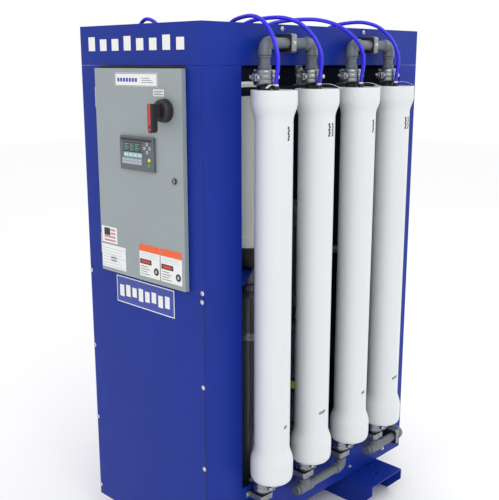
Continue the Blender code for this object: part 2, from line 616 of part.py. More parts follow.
def make_permeate_side():
    """Blue tubes from the caps' centre ports over the header to a manifold inside."""
    seat = MANIFOLD_Z + 0.041
    for number, (y0, y1) in enumerate(zip(MANIFOLD_Y, VESSEL_Y), start=1):
        x1 = VESSEL_X + 0.007
        profile = [(MANIFOLD_X, seat + 2 * GAP), (MANIFOLD_X + 0.0002, 1.690), (0.177, 1.728), (0.203, 1.750),
                   (0.242, 1.7610), (0.289, 1.7640), (0.328, 1.752), (0.356, 1.729), (0.380, 1.694),
                   (0.396, 1.652), (0.399, 1.615), (0.3945, 1.585), (x1 + 0.0003, 1.565), (x1, VESSEL_TOP + 0.010 + 2 * GAP)]
        span = x1 - MANIFOLD_X
        points = [(x, y0 + (y1 - y0) * min((x - MANIFOLD_X) / span, 1), z) for x, z in profile]
        add_object(f"permeate_tube_{number}", tube(points, TUBE_R), "blue_tube")
    manifold = pipe([(MANIFOLD_X, 0.175, MANIFOLD_Z), (MANIFOLD_X, PRODUCT_Y, MANIFOLD_Z),
                     (PRODUCT_X - 0.025, PRODUCT_Y, MANIFOLD_Z)], MANIFOLD_R, 0.0170, 0.018, 0.014)
    ports = [(MANIFOLD_X, y) for y in MANIFOLD_Y] + [(PRODUCT_X, PRODUCT_Y)]
    for x, y in ports:
        manifold = join(manifold, turned([(0, MANIFOLD_Z), (0.0100, MANIFOLD_Z), (0.0100, seat - 0.004),
                                          (0.0088, seat), (0, seat)], 8, (x, y, 0)))
    add_object("permeate_manifold", manifold, "pvc_grey")


def make_product_line():
    """Loop of tube from the manifold, and the pipe that takes the product to the back."""
    start, low = MANIFOLD_Z + 0.041 + 3 * GAP, 1.480
    points = [(PRODUCT_X, PRODUCT_Y, start), (PRODUCT_X - 0.002, PRODUCT_Y, 1.700), (-0.128, PRODUCT_Y, 1.745),
              (-0.158, PRODUCT_Y, 1.765), (-0.196, PRODUCT_Y, 1.7690), (-0.229, PRODUCT_Y, 1.745),
              (-0.247, PRODUCT_Y, 1.700), (METER_X, PRODUCT_Y, 1.620), (METER_X, PRODUCT_Y, low + GAP)]
    add_object("product_tube", tube(points, TUBE_R), "blue_tube")
    x, z = BACK_PORTS[1]
    outlet = pipe([(METER_X, PRODUCT_Y, low), (METER_X, PRODUCT_Y, z), (METER_X, 0.300, z),
                   (x, 0.300, z), (x, HD + LEVER_FRONT, z)], MANIFOLD_R, 0.0170, 0.018, 0.008,
                  ((0.0, 0.030, 0.0170),))
    add_object("product_pipe", outlet, "pvc_grey")


# ---------------------------------------------------------------- pump and prefilter
PUMP = (0.040, 0.200)
PUMP_PORT = 0.098
FEED_X = PUMP[0]
FILTER = (0.150, -0.215)
FILTER_R = 0.066


def make_pump():
    """Vertical multistage pump: casing, motor, and the shaft with its coupling and fan."""
    x, y = PUMP
    foot = box((x - 0.095, y - 0.080, SHEET + GAP), (x + 0.095, y + 0.080, 0.040))
    casing = turned([(0.0092, 0.030), (0.066, 0.030), (0.070, 0.150), (0.060, 0.160), (0.060, 0.560),
                     (0.070, 0.570), (0.070, 0.596), (0.0092, 0.596)], 16, (x, y, 0))
    ports = rod((x, y - PUMP_PORT + GAP, BOTTOM_PIPE_Z), (x, y - 0.040, BOTTOM_PIPE_Z), 0.0230, 10)
    stool = [box((x + s * 0.052 - 0.010, y - 0.012, 0.590), (x + s * 0.052 + 0.010, y + 0.012, 0.6896))
             for s in (-1, 1)]
    flange = turned([(0.030, 0.678), (0.075, 0.678), (0.075, 0.690), (0.030, 0.690)], 16, (x, y, 0))
    inlet = rod((x - 0.105, y, BOTTOM_PIPE_Z), (x - 0.040, y, BOTTOM_PIPE_Z), 0.0230, 10)
    body = join(casing, foot, ports, inlet, *stool, flange)
    body = cut(body, rod((x, y, -0.02), (x, y, 0.75), 0.0088, 12))
    add_object("pump_casing", body, "steel")
    motor = turned([(0.0100, 0.6904), (0.075, 0.6904), (0.082, 0.705), (0.082, 1.010), (0.076, 1.0200),
                    (0.076, 1.0800), (0.070, 1.0860), (0.022, 1.0860), (0.022, 1.0800), (0.071, 1.0800),
                    (0.071, 1.0220), (0.0100, 1.0220)], 16, (x, y, 0))
    terminal = box((x + 0.070, y - 0.045, 0.830), (x + 0.118, y + 0.045, 0.930))
    add_object("pump_motor", join(motor, terminal), "motor_grey")
    shaft = turned([(0, 0.060), (0.0078, 0.060), (0.0078, 0.610), (0.0240, 0.610), (0.0240, 0.668),
                    (0.0078, 0.668), (0.0078, 1.034), (0.0200, 1.034), (0.0200, 1.070), (0, 1.070)], 12, (x, y, 0))
    blades = []
    for k in range(6):
        turn = Matrix.Rotation(math.radians(60 * k), 4, "Z")
        blades.append(moved(box((0.018, -0.0015, 1.036), (0.064, 0.0015, 1.068)), (x, y, 0), turn))
    add_object("pump_shaft", join(shaft, *blades), "steel", (x, y, 0))


def make_prefilter():
    """Cartridge prefilter stood on its head above the booster canister."""
    x, y = FILTER
    head = turned([(0, 0.9214), (0.052, 0.9214), (0.066, 0.936), (0.072, 0.965), (0.072, 0.9996), (0, 0.9996)],
                  16, (x, y, 0))
    port = rod((x - 0.100, y, 0.960), (x, y, 0.960), 0.0230, 10)
    neck = rod((x, y, 0.8604), (x, y, 0.940), 0.0205, 10)
    add_object("prefilter_head", join(head, port, neck), "black_plastic")
    r = FILTER_R
    sump = turned([(0, 1.0), (0.070, 1.0), (0.070, 1.040), (r, 1.046), (r, 1.500), (r * 0.94, 1.526),
                   (r * 0.76, 1.546), (r * 0.45, 1.558), (0, 1.562)], 16, (x, y, 0))
    add_object("prefilter_sump", sump, "white_frp")
    canister = turned([(0, SHEET + GAP), (0.074, SHEET + GAP), (0.074, 0.035), (0.068, 0.040), (0.068, 0.660),
                       (0.073, 0.662), (0.073, 0.696), (0.068, 0.698), (0.068, 0.810), (0.040, 0.835),
                       (0.034, 0.835), (0.034, 0.860), (0, 0.860)], 16, (x, y, 0))
    add_object("booster_canister", canister, "motor_grey")
    port_x, z = BACK_PORTS[2]
    start = (x - 0.100 - GAP, y, 0.960)
    inlet = pipe([start, (port_x, y, 0.960), (port_x, y, z), (port_x, HD + LEVER_FRONT, z)],
                 bend=0.023, reach=0.010)
    add_object("inlet_pipe", inlet, "pvc_grey")


# ---------------------------------------------------------------- build
clear_scene()
UNIT = bpy.data.objects.new("unit_frame", None)
UNIT.location = (CAB_X, 0, SKID_H)
bpy.context.scene.collection.objects.link(UNIT)

make_skid_channels()
make_base_pan()
make_side_panels()
make_front()
make_left_and_back()
make_header()
make_enclosure()
make_door()
make_latch_and_handle()
make_controller()
make_vessels()
make_couplings()
make_crossovers()
make_end_pipes()
make_clamps()
make_permeate_side()
make_product_line()
make_pump()
make_prefilter()
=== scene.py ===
# %% [markdown]
# # A reverse osmosis unit, piece by piece
# The solid model already fixes every size and joint. This script dresses it: each hard-edged
# solid is swapped for a finely modelled piece, and every surface gets a material built from
# nodes. Read it cell by cell; each step says what the real piece is and why it is made this way.

# %% Load the solid model
import math
import bmesh
import bpy
from mathutils import Matrix, Vector


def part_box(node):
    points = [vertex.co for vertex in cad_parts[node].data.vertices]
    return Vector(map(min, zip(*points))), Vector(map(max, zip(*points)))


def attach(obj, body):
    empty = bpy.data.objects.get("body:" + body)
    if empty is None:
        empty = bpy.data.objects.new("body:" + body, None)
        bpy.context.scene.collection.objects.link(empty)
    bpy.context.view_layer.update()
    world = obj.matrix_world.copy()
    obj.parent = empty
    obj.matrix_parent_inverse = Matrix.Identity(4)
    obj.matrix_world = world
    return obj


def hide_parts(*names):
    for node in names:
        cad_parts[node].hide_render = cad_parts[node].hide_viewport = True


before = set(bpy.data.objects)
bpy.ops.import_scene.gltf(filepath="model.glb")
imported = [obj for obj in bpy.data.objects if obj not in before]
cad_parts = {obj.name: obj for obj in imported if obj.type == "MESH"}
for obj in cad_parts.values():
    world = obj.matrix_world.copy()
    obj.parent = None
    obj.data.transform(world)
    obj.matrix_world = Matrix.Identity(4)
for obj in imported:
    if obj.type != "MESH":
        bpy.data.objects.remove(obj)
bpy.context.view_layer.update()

# %% [markdown]
# ## Camera first
# Everything else is judged through the camera, so it is placed before any piece. The view looks
# down a little on the control side and the vessel side together. A long lens keeps the tall
# cabinet from leaning, and the shift stays at zero so that other views aren't skewed.

# %% Camera, floor and lights
scene = bpy.context.scene
SKID_H = 0.105
CAMERA_PLACE = (2.078, -2.205, 1.620)       # in the cabinet's own frame
CAMERA_TILT, CAMERA_TURN = 76.975, 44.003
LENS = 58.1
FLOOR_HALF = 14
cabinet_low, cabinet_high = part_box("header_band")
CAB_X = (cabinet_low[0] + cabinet_high[0]) / 2
OFFSET = Vector((CAB_X, 0, SKID_H))         # the cabinet's own frame, used by every piece below

camera_data = bpy.data.cameras.new("camera")
camera_data.lens = LENS
camera_data.sensor_width = 36
camera_data.sensor_fit = "HORIZONTAL"
camera = bpy.data.objects.new("camera", camera_data)
camera.location = OFFSET + Vector(CAMERA_PLACE)
camera.rotation_euler = (math.radians(CAMERA_TILT), 0, math.radians(CAMERA_TURN))
scene.collection.objects.link(camera)
scene.camera = camera


def node_tree(name, kind="MATERIAL"):
    mat = bpy.data.materials.new(name)
    mat.use_nodes = True
    return mat, mat.node_tree, mat.node_tree.nodes["Principled BSDF"]


floor_mat, tree, shader = node_tree("floor")
shader.inputs["Base Color"].default_value = (0.97, 0.97, 0.97, 1)
shader.inputs["Roughness"].default_value = 0.75
grain = tree.nodes.new("ShaderNodeTexNoise")
grain.inputs["Scale"].default_value = 8
bump = tree.nodes.new("ShaderNodeBump")
bump.inputs["Strength"].default_value = 0.02
tree.links.new(grain.outputs["Fac"], bump.inputs["Height"])
tree.links.new(bump.outputs["Normal"], shader.inputs["Normal"])
floor_mesh = bpy.data.meshes.new("floor")
corners = [(FLOOR_HALF * x, FLOOR_HALF * y, 0) for x, y in ((-1, -1), (1, -1), (1, 1), (-1, 1))]
floor_mesh.from_pydata(corners, [], [(0, 1, 2, 3)])
floor_mesh.materials.append(floor_mat)
floor = bpy.data.objects.new("floor", floor_mesh)
scene.collection.objects.link(floor)

world = bpy.data.worlds.new("studio")
world.use_nodes = True
world.node_tree.nodes["Background"].inputs["Color"].default_value = (1.0, 1.0, 1.0, 1)
world.node_tree.nodes["Background"].inputs["Strength"].default_value = 1.0
scene.world = world
scene.view_settings.view_transform = "Standard"     # plain colours, so white stays white


def soft_light(name, place, target, size, power):
    data = bpy.data.lights.new(name, "AREA")
    data.shape, data.size, data.energy = "SQUARE", size, power
    light = bpy.data.objects.new(name, data)
    light.location = place
    light.rotation_euler = (Vector(target) - Vector(place)).to_track_quat("-Z", "Y").to_euler()
    scene.collection.objects.link(light)


soft_light("key_light", (3.4, -2.2, 4.2), (0, 0, 1.0), 2.6, 60)
soft_light("front_fill", (-1.5, -4.0, 2.2), (0, 0, 1.0), 2.5, 2)
soft_light("back_fill", (1.5, 4.0, 3.5), (0, 0, 1.0), 2.5, 30)
print("camera", [round(v, 3) for v in camera.location], "lens", camera_data.lens)

# %% [markdown]
# ## Materials
# A single flat colour looks like plastic from a toy. Real surfaces vary a little everywhere:
# paint pools, powder coat has an orange-peel skin, zinc has crystals. One function builds all of
# them from three layers of noise in object space (tint, roughness and relief), and each material
# is a different choice of scale and strength. Object coordinates are used because they stay
# fixed to the piece from every side.

# %% Procedural materials


def srgb(r, g, b):
    return tuple((c / 255 / 12.92) if c < 10.3 else (((c / 255) + 0.055) / 1.055) ** 2.4 for c in (r, g, b))


def surface(name, colour, rough, metallic=0.0, spread=0.06, tint_scale=5.0, rough_spread=0.07,
            rough_scale=22.0, relief=0.0, relief_scale=700.0, stretch=(1, 1, 1), cells=False,
            coat=0.0, specks=None, gloss=0.5):
    """One Principled material with noise on its colour, its roughness and its relief."""
    mat, tree, shader = node_tree(name)
    new, link = tree.nodes.new, tree.links.new
    coords = new("ShaderNodeTexCoord")
    place = new("ShaderNodeMapping")
    place.inputs["Scale"].default_value = stretch
    link(coords.outputs["Object"], place.inputs["Vector"])
    if cells:
        tint = new("ShaderNodeTexVoronoi")
        tint.inputs["Randomness"].default_value = 1.0
        tint_out = tint.outputs["Color"]
    else:
        tint = new("ShaderNodeTexNoise")
        tint.inputs["Detail"].default_value = 5
        tint_out = tint.outputs["Fac"]
    tint.inputs["Scale"].default_value = tint_scale
    link(place.outputs["Vector"], tint.inputs["Vector"])
    ramp = new("ShaderNodeValToRGB")
    base = srgb(*colour)
    ramp.color_ramp.elements[0].position = 0.3
    ramp.color_ramp.elements[1].position = 0.7
    ramp.color_ramp.elements[0].color = (*(c * (1 - spread) for c in base), 1)
    ramp.color_ramp.elements[1].color = (*(min(c * (1 + spread), 1) for c in base), 1)
    link(tint_out, ramp.inputs["Fac"])
    colour_out = ramp.outputs["Color"]
    if specks:
        dots = new("ShaderNodeTexVoronoi")
        dots.inputs["Scale"].default_value = specks[1]
        link(coords.outputs["Object"], dots.inputs["Vector"])
        near = new("ShaderNodeMapRange")
        near.inputs["From Min"].default_value = 0.10
        near.inputs["From Max"].default_value = 0.16
        near.inputs["To Min"].default_value = specks[2]
        near.inputs["To Max"].default_value = 0.0
        link(dots.outputs["Distance"], near.inputs["Value"])
        mix = new("ShaderNodeMix")
        mix.data_type = "RGBA"
        colour_sockets = [socket for socket in mix.inputs if socket.type == "RGBA"]
        link(near.outputs["Result"], mix.inputs["Factor"])
        link(colour_out, colour_sockets[0])
        colour_sockets[1].default_value = (*srgb(*specks[0]), 1)
        colour_out = [socket for socket in mix.outputs if socket.type == "RGBA"][0]
    link(colour_out, shader.inputs["Base Color"])
    cloud = new("ShaderNodeTexNoise")
    cloud.inputs["Scale"].default_value = rough_scale
    cloud.inputs["Detail"].default_value = 6
    link(place.outputs["Vector"], cloud.inputs["Vector"])
    span = new("ShaderNodeMapRange")
    span.inputs["From Min"].default_value = 0.3
    span.inputs["From Max"].default_value = 0.7
    span.inputs["To Min"].default_value = max(rough - rough_spread, 0.03)
    span.inputs["To Max"].default_value = rough + rough_spread
    link(cloud.outputs["Fac"], span.inputs["Value"])
    link(span.outputs["Result"], shader.inputs["Roughness"])
    if relief:
        fine = new("ShaderNodeTexNoise")
        fine.inputs["Scale"].default_value = relief_scale
        fine.inputs["Detail"].default_value = 3
        link(place.outputs["Vector"], fine.inputs["Vector"])
        bump = new("ShaderNodeBump")
        bump.inputs["Strength"].default_value = relief
        bump.inputs["Distance"].default_value = 0.0008
        link(fine.outputs["Fac"], bump.inputs["Height"])
        link(bump.outputs["Normal"], shader.inputs["Normal"])
    shader.inputs["Metallic"].default_value = metallic
    shader.inputs["Specular IOR Level"].default_value = gloss
    shader.inputs["Coat Weight"].default_value = coat
    shader.inputs["Coat Roughness"].default_value = 0.12
    return mat


BLUE = surface("blue_powder_coat", (16, 43, 138), 0.38, relief=0.08, relief_scale=520, gloss=0.16,
               coat=0.0, spread=0.05,
               specks=((24, 44, 138), 60, 0.12))
GREY = surface("grey_enclosure_paint", (143, 152, 155), 0.42, relief=0.14, relief_scale=900, spread=0.035,
               specks=((140, 146, 150), 110, 0.20))
FRP = surface("white_gel_coat", (211, 214, 216), 0.34, relief=0.04, relief_scale=90, spread=0.012,
              stretch=(1, 1, 0.25), tint_scale=6, coat=0.15, specks=((196, 199, 204), 45, 0.12))
PVC = surface("grey_pvc", (94, 101, 108), 0.40, relief=0.05, relief_scale=350, spread=0.07, tint_scale=18)
CEMENT = surface("cement_squeeze_out", (70, 74, 80), 0.25, relief=0.4, relief_scale=420, spread=0.1)
BLACK = surface("black_moulded_plastic", (30, 30, 32), 0.48, relief=0.18, relief_scale=1500, spread=0.15)
RUBBER = surface("black_rubber", (24, 24, 25), 0.72, relief=0.12, relief_scale=900, spread=0.2)
ZINC = surface("zinc_plated_casting", (138, 142, 147), 0.30, 0.95, relief=0.32, relief_scale=260,
               spread=0.16,
               tint_scale=38, rough_spread=0.12, rough_scale=60)
GALV = surface("galvanised_sheet", (140, 144, 148), 0.38, 0.85, cells=True, tint_scale=170, spread=0.14,
               rough_spread=0.14, rough_scale=70)
BOLT = surface("bright_zinc_fastener", (205, 204, 196), 0.27, 0.95, relief=0.08, relief_scale=1200,
               spread=0.09,
               tint_scale=60)
STEEL = surface("brushed_stainless", (200, 202, 203), 0.30, 0.95, relief=0.10, relief_scale=500,
                spread=0.07,
                stretch=(1, 1, 0.04), tint_scale=120, rough_scale=160)
TUBE = surface("blue_polyethylene", (44, 34, 216), 0.30, relief=0.03, relief_scale=200, spread=0.08,
               coat=0.1, gloss=0.35)
MOTOR = surface("motor_enamel", (48, 52, 58), 0.40, relief=0.22, relief_scale=420, spread=0.12)
CANISTER = surface("canister_enamel", (62, 66, 72), 0.36, relief=0.08, relief_scale=300, spread=0.08,
                   coat=0.3)
SUMP = surface("filter_polypropylene", (236, 237, 236), 0.36, relief=0.04, relief_scale=160, spread=0.02)
BEZEL = surface("controller_bezel", (86, 92, 98), 0.46, relief=0.16, relief_scale=1600, spread=0.06)
SCREEN = surface("display_window", (28, 38, 36), 0.14, spread=0.10, rough_spread=0.03, coat=0.6)
TEAL = surface("membrane_teal", (110, 168, 170), 0.45, relief=0.06, relief_scale=1400, spread=0.05)
KEY_GREY = surface("key_cap_grey", (168, 176, 190), 0.50, relief=0.10, relief_scale=1800, spread=0.04)
KEY_GREEN = surface("key_cap_green", (44, 160, 78), 0.40, relief=0.08, relief_scale=1800, spread=0.05)
KEY_YELLOW = surface("key_cap_yellow", (232, 214, 70), 0.40, relief=0.08, relief_scale=1800, spread=0.05)
WHITE = surface("label_white", (226, 227, 226), 0.40, spread=0.02, relief=0.02)
INK = surface("label_ink", (30, 30, 32), 0.45, spread=0.1)
ORANGE = surface("label_orange", (226, 92, 36), 0.42, spread=0.04)
DUSTY = surface("label_dusty_red", (196, 120, 128), 0.42, spread=0.05)
RED = surface("label_red", (206, 44, 34), 0.42, spread=0.05)
SIGN = surface("sign_blue", (20, 48, 150), 0.35, spread=0.04, coat=0.3)
PALE = surface("engraved_grey", (196, 200, 204), 0.5, spread=0.05)
MARK = surface("stencil_grey", (120, 124, 130), 0.5, spread=0.1)
LIME = surface("yellow_green_band", (196, 206, 60), 0.4, spread=0.06)
# Near-black painted shade, not a primer: it colours the cabinet's inner faces and the inner rail to stand
# in for the shade inside the cabinet.
PAINTED_SHADE = surface("painted_interior_shade", (14, 18, 34), 0.6, gloss=0.1, relief=0.06, spread=0.15)
print("materials", len(bpy.data.materials))

# %% [markdown]
# ## Shape tools
# The pieces come from a few ways of making a closed surface that any modeller uses: a box with
# its edges rounded, an outline turned about an axis (lathe), an outline pushed along an axis
# (extrusion), and a circle swept along a path (pipe). A Piece gathers such shapes, each with
# its own material, into one mesh that moves with one body of the solid model.

# %% Shape tools


def rounded_box(lo, hi, radius=0.0008, segments=2):
    bm = bmesh.new()
    lo, hi = Vector(lo), Vector(hi)
    matrix = Matrix.Translation((lo + hi) / 2) @ Matrix.Diagonal((*(hi - lo), 1))
    bmesh.ops.create_cube(bm, size=1.0, matrix=matrix)
    if radius:
        radius = min(radius, 0.45 * min(hi - lo))
        bmesh.ops.bevel(bm, geom=bm.edges[:], offset=radius, segments=segments, affect="EDGES", profile=0.5)
    return bm


def lathe(profile, sides=64, centre=(0, 0, 0), axis="Z"):
    """Turn a (radius, height) outline about an axis. The outline either starts and ends on the
    axis or closes on itself."""
    bm = bmesh.new()
    rings = []
    for radius, height in profile:
        if radius < 1e-6:
            rings.append([bm.verts.new((0, 0, height))])
        else:
            rings.append([bm.verts.new((radius * math.cos(2 * math.pi * i / sides),
                                        radius * math.sin(2 * math.pi * i / sides), height))
                          for i in range(sides)])
    closed = profile[0][0] > 1e-6
    for a, b in list(zip(rings, rings[1:])) + ([(rings[-1], rings[0])] if closed else []):
        for i in range(sides):
            j = (i + 1) % sides
            corners = list(dict.fromkeys([a[i % len(a)], a[j % len(a)], b[j % len(b)], b[i % len(b)]]))
            if len(corners) > 2:
                bm.faces.new(corners)
    turn = {"Z": Matrix.Identity(4), "Y": Matrix.Rotation(math.radians(90), 4, "X"),
            "X": Matrix.Rotation(math.radians(90), 4, "Y")}[axis]
    bmesh.ops.transform(bm, matrix=Matrix.Translation(centre) @ turn, verts=bm.verts)
    bmesh.ops.recalc_face_normals(bm, faces=bm.faces)
    return bm


def extrude(outline, axis, low, high, radius=0.0006, segments=2):
    order = {"X": lambda u, v, w: (w, u, v), "Y": lambda u, v, w: (u, w, v), "Z": lambda u, v,
             w: (u, v, w)}[axis]
    bm = bmesh.new()
    ends = [[bm.verts.new(order(u, v, w)) for u, v in outline] for w in (low, high)]
    for end in ends:
        bm.faces.new(end)
    for i in range(len(outline)):
        j = (i + 1) % len(outline)
        bm.faces.new((ends[0][i], ends[0][j], ends[1][j], ends[1][i]))
    bmesh.ops.recalc_face_normals(bm, faces=bm.faces)
    if radius:
        sharp = [e for e in bm.edges if e.calc_face_angle(0) > 0.5]
        bmesh.ops.bevel(bm, geom=sharp, offset=radius, segments=segments, affect="EDGES", profile=0.5)
    return bm


def soften(profile, radius=0.0015, steps=3):
    """Round the corners of a profile that isn't on the axis, with small arcs."""
    rounded = []
    for i, point in enumerate(profile):
        before, after = profile[i - 1], profile[(i + 1) % len(profile)]
        p, a, b = Vector(point), Vector(before), Vector(after)
        if point[0] < 1e-6 or (i == 0
                               and profile[0][0] < 1e-6) or (a - p).length < 1e-6 or (b - p).length < 1e-6:
            rounded.append(tuple(point))
            continue
        reach = min(radius, 0.45 * (a - p).length, 0.45 * (b - p).length)
        start, end = p + (a - p).normalized() * reach, p + (b - p).normalized() * reach
        for k in range(steps + 1):
            t = k / steps
            rounded.append(tuple((1 - t) ** 2 * start + 2 * t * (1 - t) * p + t * t * end))
    return rounded


def curve_points(points, step):
    """Points at about one spacing on a smooth curve through the given ones."""
    pts = [Vector(p) for p in points]
    ends = [2 * pts[0] - pts[1]] + pts + [2 * pts[-1] - pts[-2]]
    route = [pts[0]]
    for i in range(1, len(ends) - 2):
        p0, p1, p2, p3 = ends[i - 1:i + 3]
        count = max(1, round((p2 - p1).length / step))
        for k in range(1, count + 1):
            t = k / count
            route.append(0.5 * ((2 * p1) + (p2 - p0) * t + (2 * p0 - 5 * p1 + 4 * p2 - p3) * t ** 2
                                + (3 * p1 - p0 - 3 * p2 + p3) * t ** 3))
    return route


def sweep(stations, sides=40):
    """Sweep a circle along (point, direction, radius) stations and cap both ends."""
    bm = bmesh.new()
    tangent = stations[0][1].normalized()
    normal = tangent.orthogonal().normalized()
    rings = []
    for point, direction, radius in stations:
        direction = direction.normalized()
        normal = (tangent.rotation_difference(direction) @ normal).normalized()
        tangent = direction
        side = tangent.cross(normal)
        rings.append([bm.verts.new(point + radius * (math.cos(a) * normal + math.sin(a) * side))
                      for a in (2 * math.pi * i / sides for i in range(sides))])
    for a, b in zip(rings, rings[1:]):
        for i in range(sides):
            j = (i + 1) % sides
            bm.faces.new((a[i], a[j], b[j], b[i]))
    bm.faces.new(rings[0])
    bm.faces.new(rings[-1])
    bmesh.ops.recalc_face_normals(bm, faces=bm.faces)
    return bm


def place(name, mesh, body="cabinet", nodes=(), slot=None, angle=35):
    """Put a finished mesh in the scene, riding a body of the solid model."""
    mesh.shade_smooth()
    mesh.set_sharp_from_angle(angle=math.radians(angle))
    obj = bpy.data.objects.new(name, mesh)
    scene.collection.objects.link(obj)
    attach(obj, body)
    if nodes:
        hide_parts(*nodes)
    return obj


def polygon(radius, corners=6, start=0.0, centre=(0, 0)):
    """Corners of a regular outline; start is the first corner's angle in degrees."""
    turns = [math.radians(start + 360 * k / corners) for k in range(corners)]
    return [(centre[0] + radius * math.cos(a), centre[1] + radius * math.sin(a)) for a in turns]


def spin(point, angle, axis):
    """Move to a point after a turn about an axis, with the angle in radians."""
    return Matrix.Translation(point) @ Matrix.Rotation(angle, 4, axis)


class Piece:
    """One mesh under construction, in the cabinet's own frame."""

    def __init__(self, name, body="cabinet", slot=None):
        self.name, self.body, self.slot = name, body, slot
        self.bm, self.materials = bmesh.new(), []

    def add(self, bm, material, spot=None):
        if spot is not None:
            bmesh.ops.transform(bm, matrix=spot, verts=bm.verts)
        if material not in self.materials:
            self.materials.append(material)
        index = self.materials.index(material)
        for face in bm.faces:
            face.material_index = index
        mesh = bpy.data.meshes.new("shape")
        bm.to_mesh(mesh)
        bm.free()
        self.bm.from_mesh(mesh)
        bpy.data.meshes.remove(mesh)
        return self

    def block(self, lo, hi, material, radius=0.0008, segments=2, spot=None):
        return self.add(rounded_box(lo, hi, radius, segments), material, spot)

    def turned(self, profile, material, sides=64, centre=(0, 0, 0), axis="Z", soft=None, spot=None):
        """Add a lathed outline; soft is the (radius, steps) that rounds its corners."""
        outline = soften(profile, *soft) if soft else profile
        return self.add(lathe(outline, sides, centre, axis), material, spot)

    def ring(self, radii, heights, *finish, **options):
        """Add a band, or a disc when the inner radius is 0, between two heights on its axis."""
        (inner, outer), (low, high) = radii, heights
        return self.turned([(inner, low), (outer, low), (outer, high), (inner, high)], *finish, **options)

    def done(self, *nodes):
        bmesh.ops.translate(self.bm, verts=self.bm.verts, vec=OFFSET)
        mesh = bpy.data.meshes.new(self.name)
        self.bm.to_mesh(mesh)
        self.bm.free()
        for material in self.materials:
            mesh.materials.append(material)
        return place(self.name, mesh, self.body, nodes, self.slot, 32)


FLAT_SHEET_AREA = 0.0002                    # faces larger than this are flat sheet and shade flat


def dressed(node, material, slot, body="cabinet", width=0.0007, segments=2, second=None):
    """A finely bevelled piece with the planes of a solid node; second is (test, material) for
    faces that have another finish."""
    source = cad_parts[node].data
    bm = bmesh.new()
    bm.from_mesh(source)
    bmesh.ops.remove_doubles(bm, verts=bm.verts, dist=1e-6)
    bmesh.ops.dissolve_limit(bm, angle_limit=math.radians(1), verts=bm.verts, edges=bm.edges)
    mesh = bpy.data.meshes.new(node + "_fine")
    bm.to_mesh(mesh)
    bm.free()
    obj = bpy.data.objects.new("working", mesh)
    scene.collection.objects.link(obj)
    bevel = obj.modifiers.new("edges", "BEVEL")
    bevel.width, bevel.segments, bevel.limit_method = width, segments, "ANGLE"
    bevel.angle_limit = math.radians(40)
    bevel.harden_normals = False
    baked = bpy.data.meshes.new_from_object(obj.evaluated_get(bpy.context.evaluated_depsgraph_get()))
    bpy.data.objects.remove(obj, do_unlink=True)
    baked.materials.clear()
    baked.materials.append(material)
    if second:
        baked.materials.append(second[1])
        for face in baked.polygons:
            face.material_index = 1 if second[0](face.center - OFFSET) else 0
    obj = place(node + "_dress", baked, body, (node,), slot, 38)
    for face in baked.polygons:
        face.use_smooth = face.area < FLAT_SHEET_AREA
    return obj


# %% [markdown]
# ## Repeated small parts with Geometry Nodes
# Screws and bolts are the same shape many times. Instead of placing each by hand, one node tree
# puts a chosen piece on every point of a mesh, turned by a rotation stored on that point. The
# tree is built once and its named inputs (the piece and its material) are set for each use. The
# result is realized into plain geometry, so the piece exports as an ordinary mesh.

# %% A node tree that scatters fasteners


def new_tree(name, inputs):
    """A Geometry Nodes tree with named inputs, and its input and output nodes."""
    tree = bpy.data.node_groups.new(name, "GeometryNodeTree")
    for label, kind in inputs:
        tree.interface.new_socket(label, in_out="INPUT", socket_type="NodeSocket" + kind)
    tree.interface.new_socket("Geometry", in_out="OUTPUT", socket_type="NodeSocketGeometry")
    return tree, tree.nodes.new("NodeGroupInput"), tree.nodes.new("NodeGroupOutput")


def bake_tree(tree, mesh, values):
    """Run a tree on a mesh with its inputs set by socket identifier; return plain geometry."""
    holder = bpy.data.objects.new("holder", mesh)
    scene.collection.objects.link(holder)
    modifier = holder.modifiers.new("tree", "NODES")
    modifier.node_group = tree
    for item in tree.interface.items_tree:
        if item.in_out == "INPUT" and item.name in values:
            modifier[item.identifier] = values[item.name]
    baked = bpy.data.meshes.new_from_object(holder.evaluated_get(bpy.context.evaluated_depsgraph_get()))
    bpy.data.objects.remove(holder, do_unlink=True)
    if not baked.materials:
        baked.materials.append(values["Finish"])
    return baked


def scatter_tree():
    inputs = (("Points", "Geometry"), ("Piece", "Object"), ("Finish", "Material"))
    tree, inside, outside = new_tree("scatter_fasteners", inputs)
    new, link = tree.nodes.new, tree.links.new
    info = new("GeometryNodeObjectInfo")
    turn = new("GeometryNodeInputNamedAttribute")
    turn.data_type = "FLOAT_VECTOR"
    turn.inputs["Name"].default_value = "turn"
    to_rotation = new("FunctionNodeEulerToRotation")
    place = new("GeometryNodeInstanceOnPoints")
    real = new("GeometryNodeRealizeInstances")
    finish = new("GeometryNodeSetMaterial")
    link(inside.outputs["Piece"], info.inputs["Object"])
    link(inside.outputs["Points"], place.inputs["Points"])
    link(info.outputs["Geometry"], place.inputs["Instance"])
    link(turn.outputs["Attribute"], to_rotation.inputs["Euler"])
    link(to_rotation.outputs["Rotation"], place.inputs["Rotation"])
    link(place.outputs["Instances"], real.inputs["Geometry"])
    link(real.outputs["Geometry"], finish.inputs["Geometry"])
    link(inside.outputs["Finish"], finish.inputs["Material"])
    link(finish.outputs["Geometry"], outside.inputs["Geometry"])
    return tree


SCATTER = scatter_tree()


def scatter(name, shape, places, material):
    """Put a shape, made along +Z, at each (point, direction it faces)."""
    source_mesh = bpy.data.meshes.new("fastener")
    shape.to_mesh(source_mesh)
    shape.free()
    source = bpy.data.objects.new("fastener", source_mesh)
    scene.collection.objects.link(source)
    mesh = bpy.data.meshes.new(name)
    mesh.from_pydata([Vector(p) + OFFSET for p, _ in places], [], [])
    turn = mesh.attributes.new("turn", "FLOAT_VECTOR", "POINT")
    for i, (_, facing) in enumerate(places):
        turn.data[i].vector = Vector(facing).to_track_quat("Z", "Y").to_euler()
    baked = bake_tree(SCATTER, mesh, {"Piece": source, "Finish": material})
    bpy.data.objects.remove(source, do_unlink=True)
    print(name, len(places), "copies,", len(baked.polygons), "faces")
    return place(name, baked)


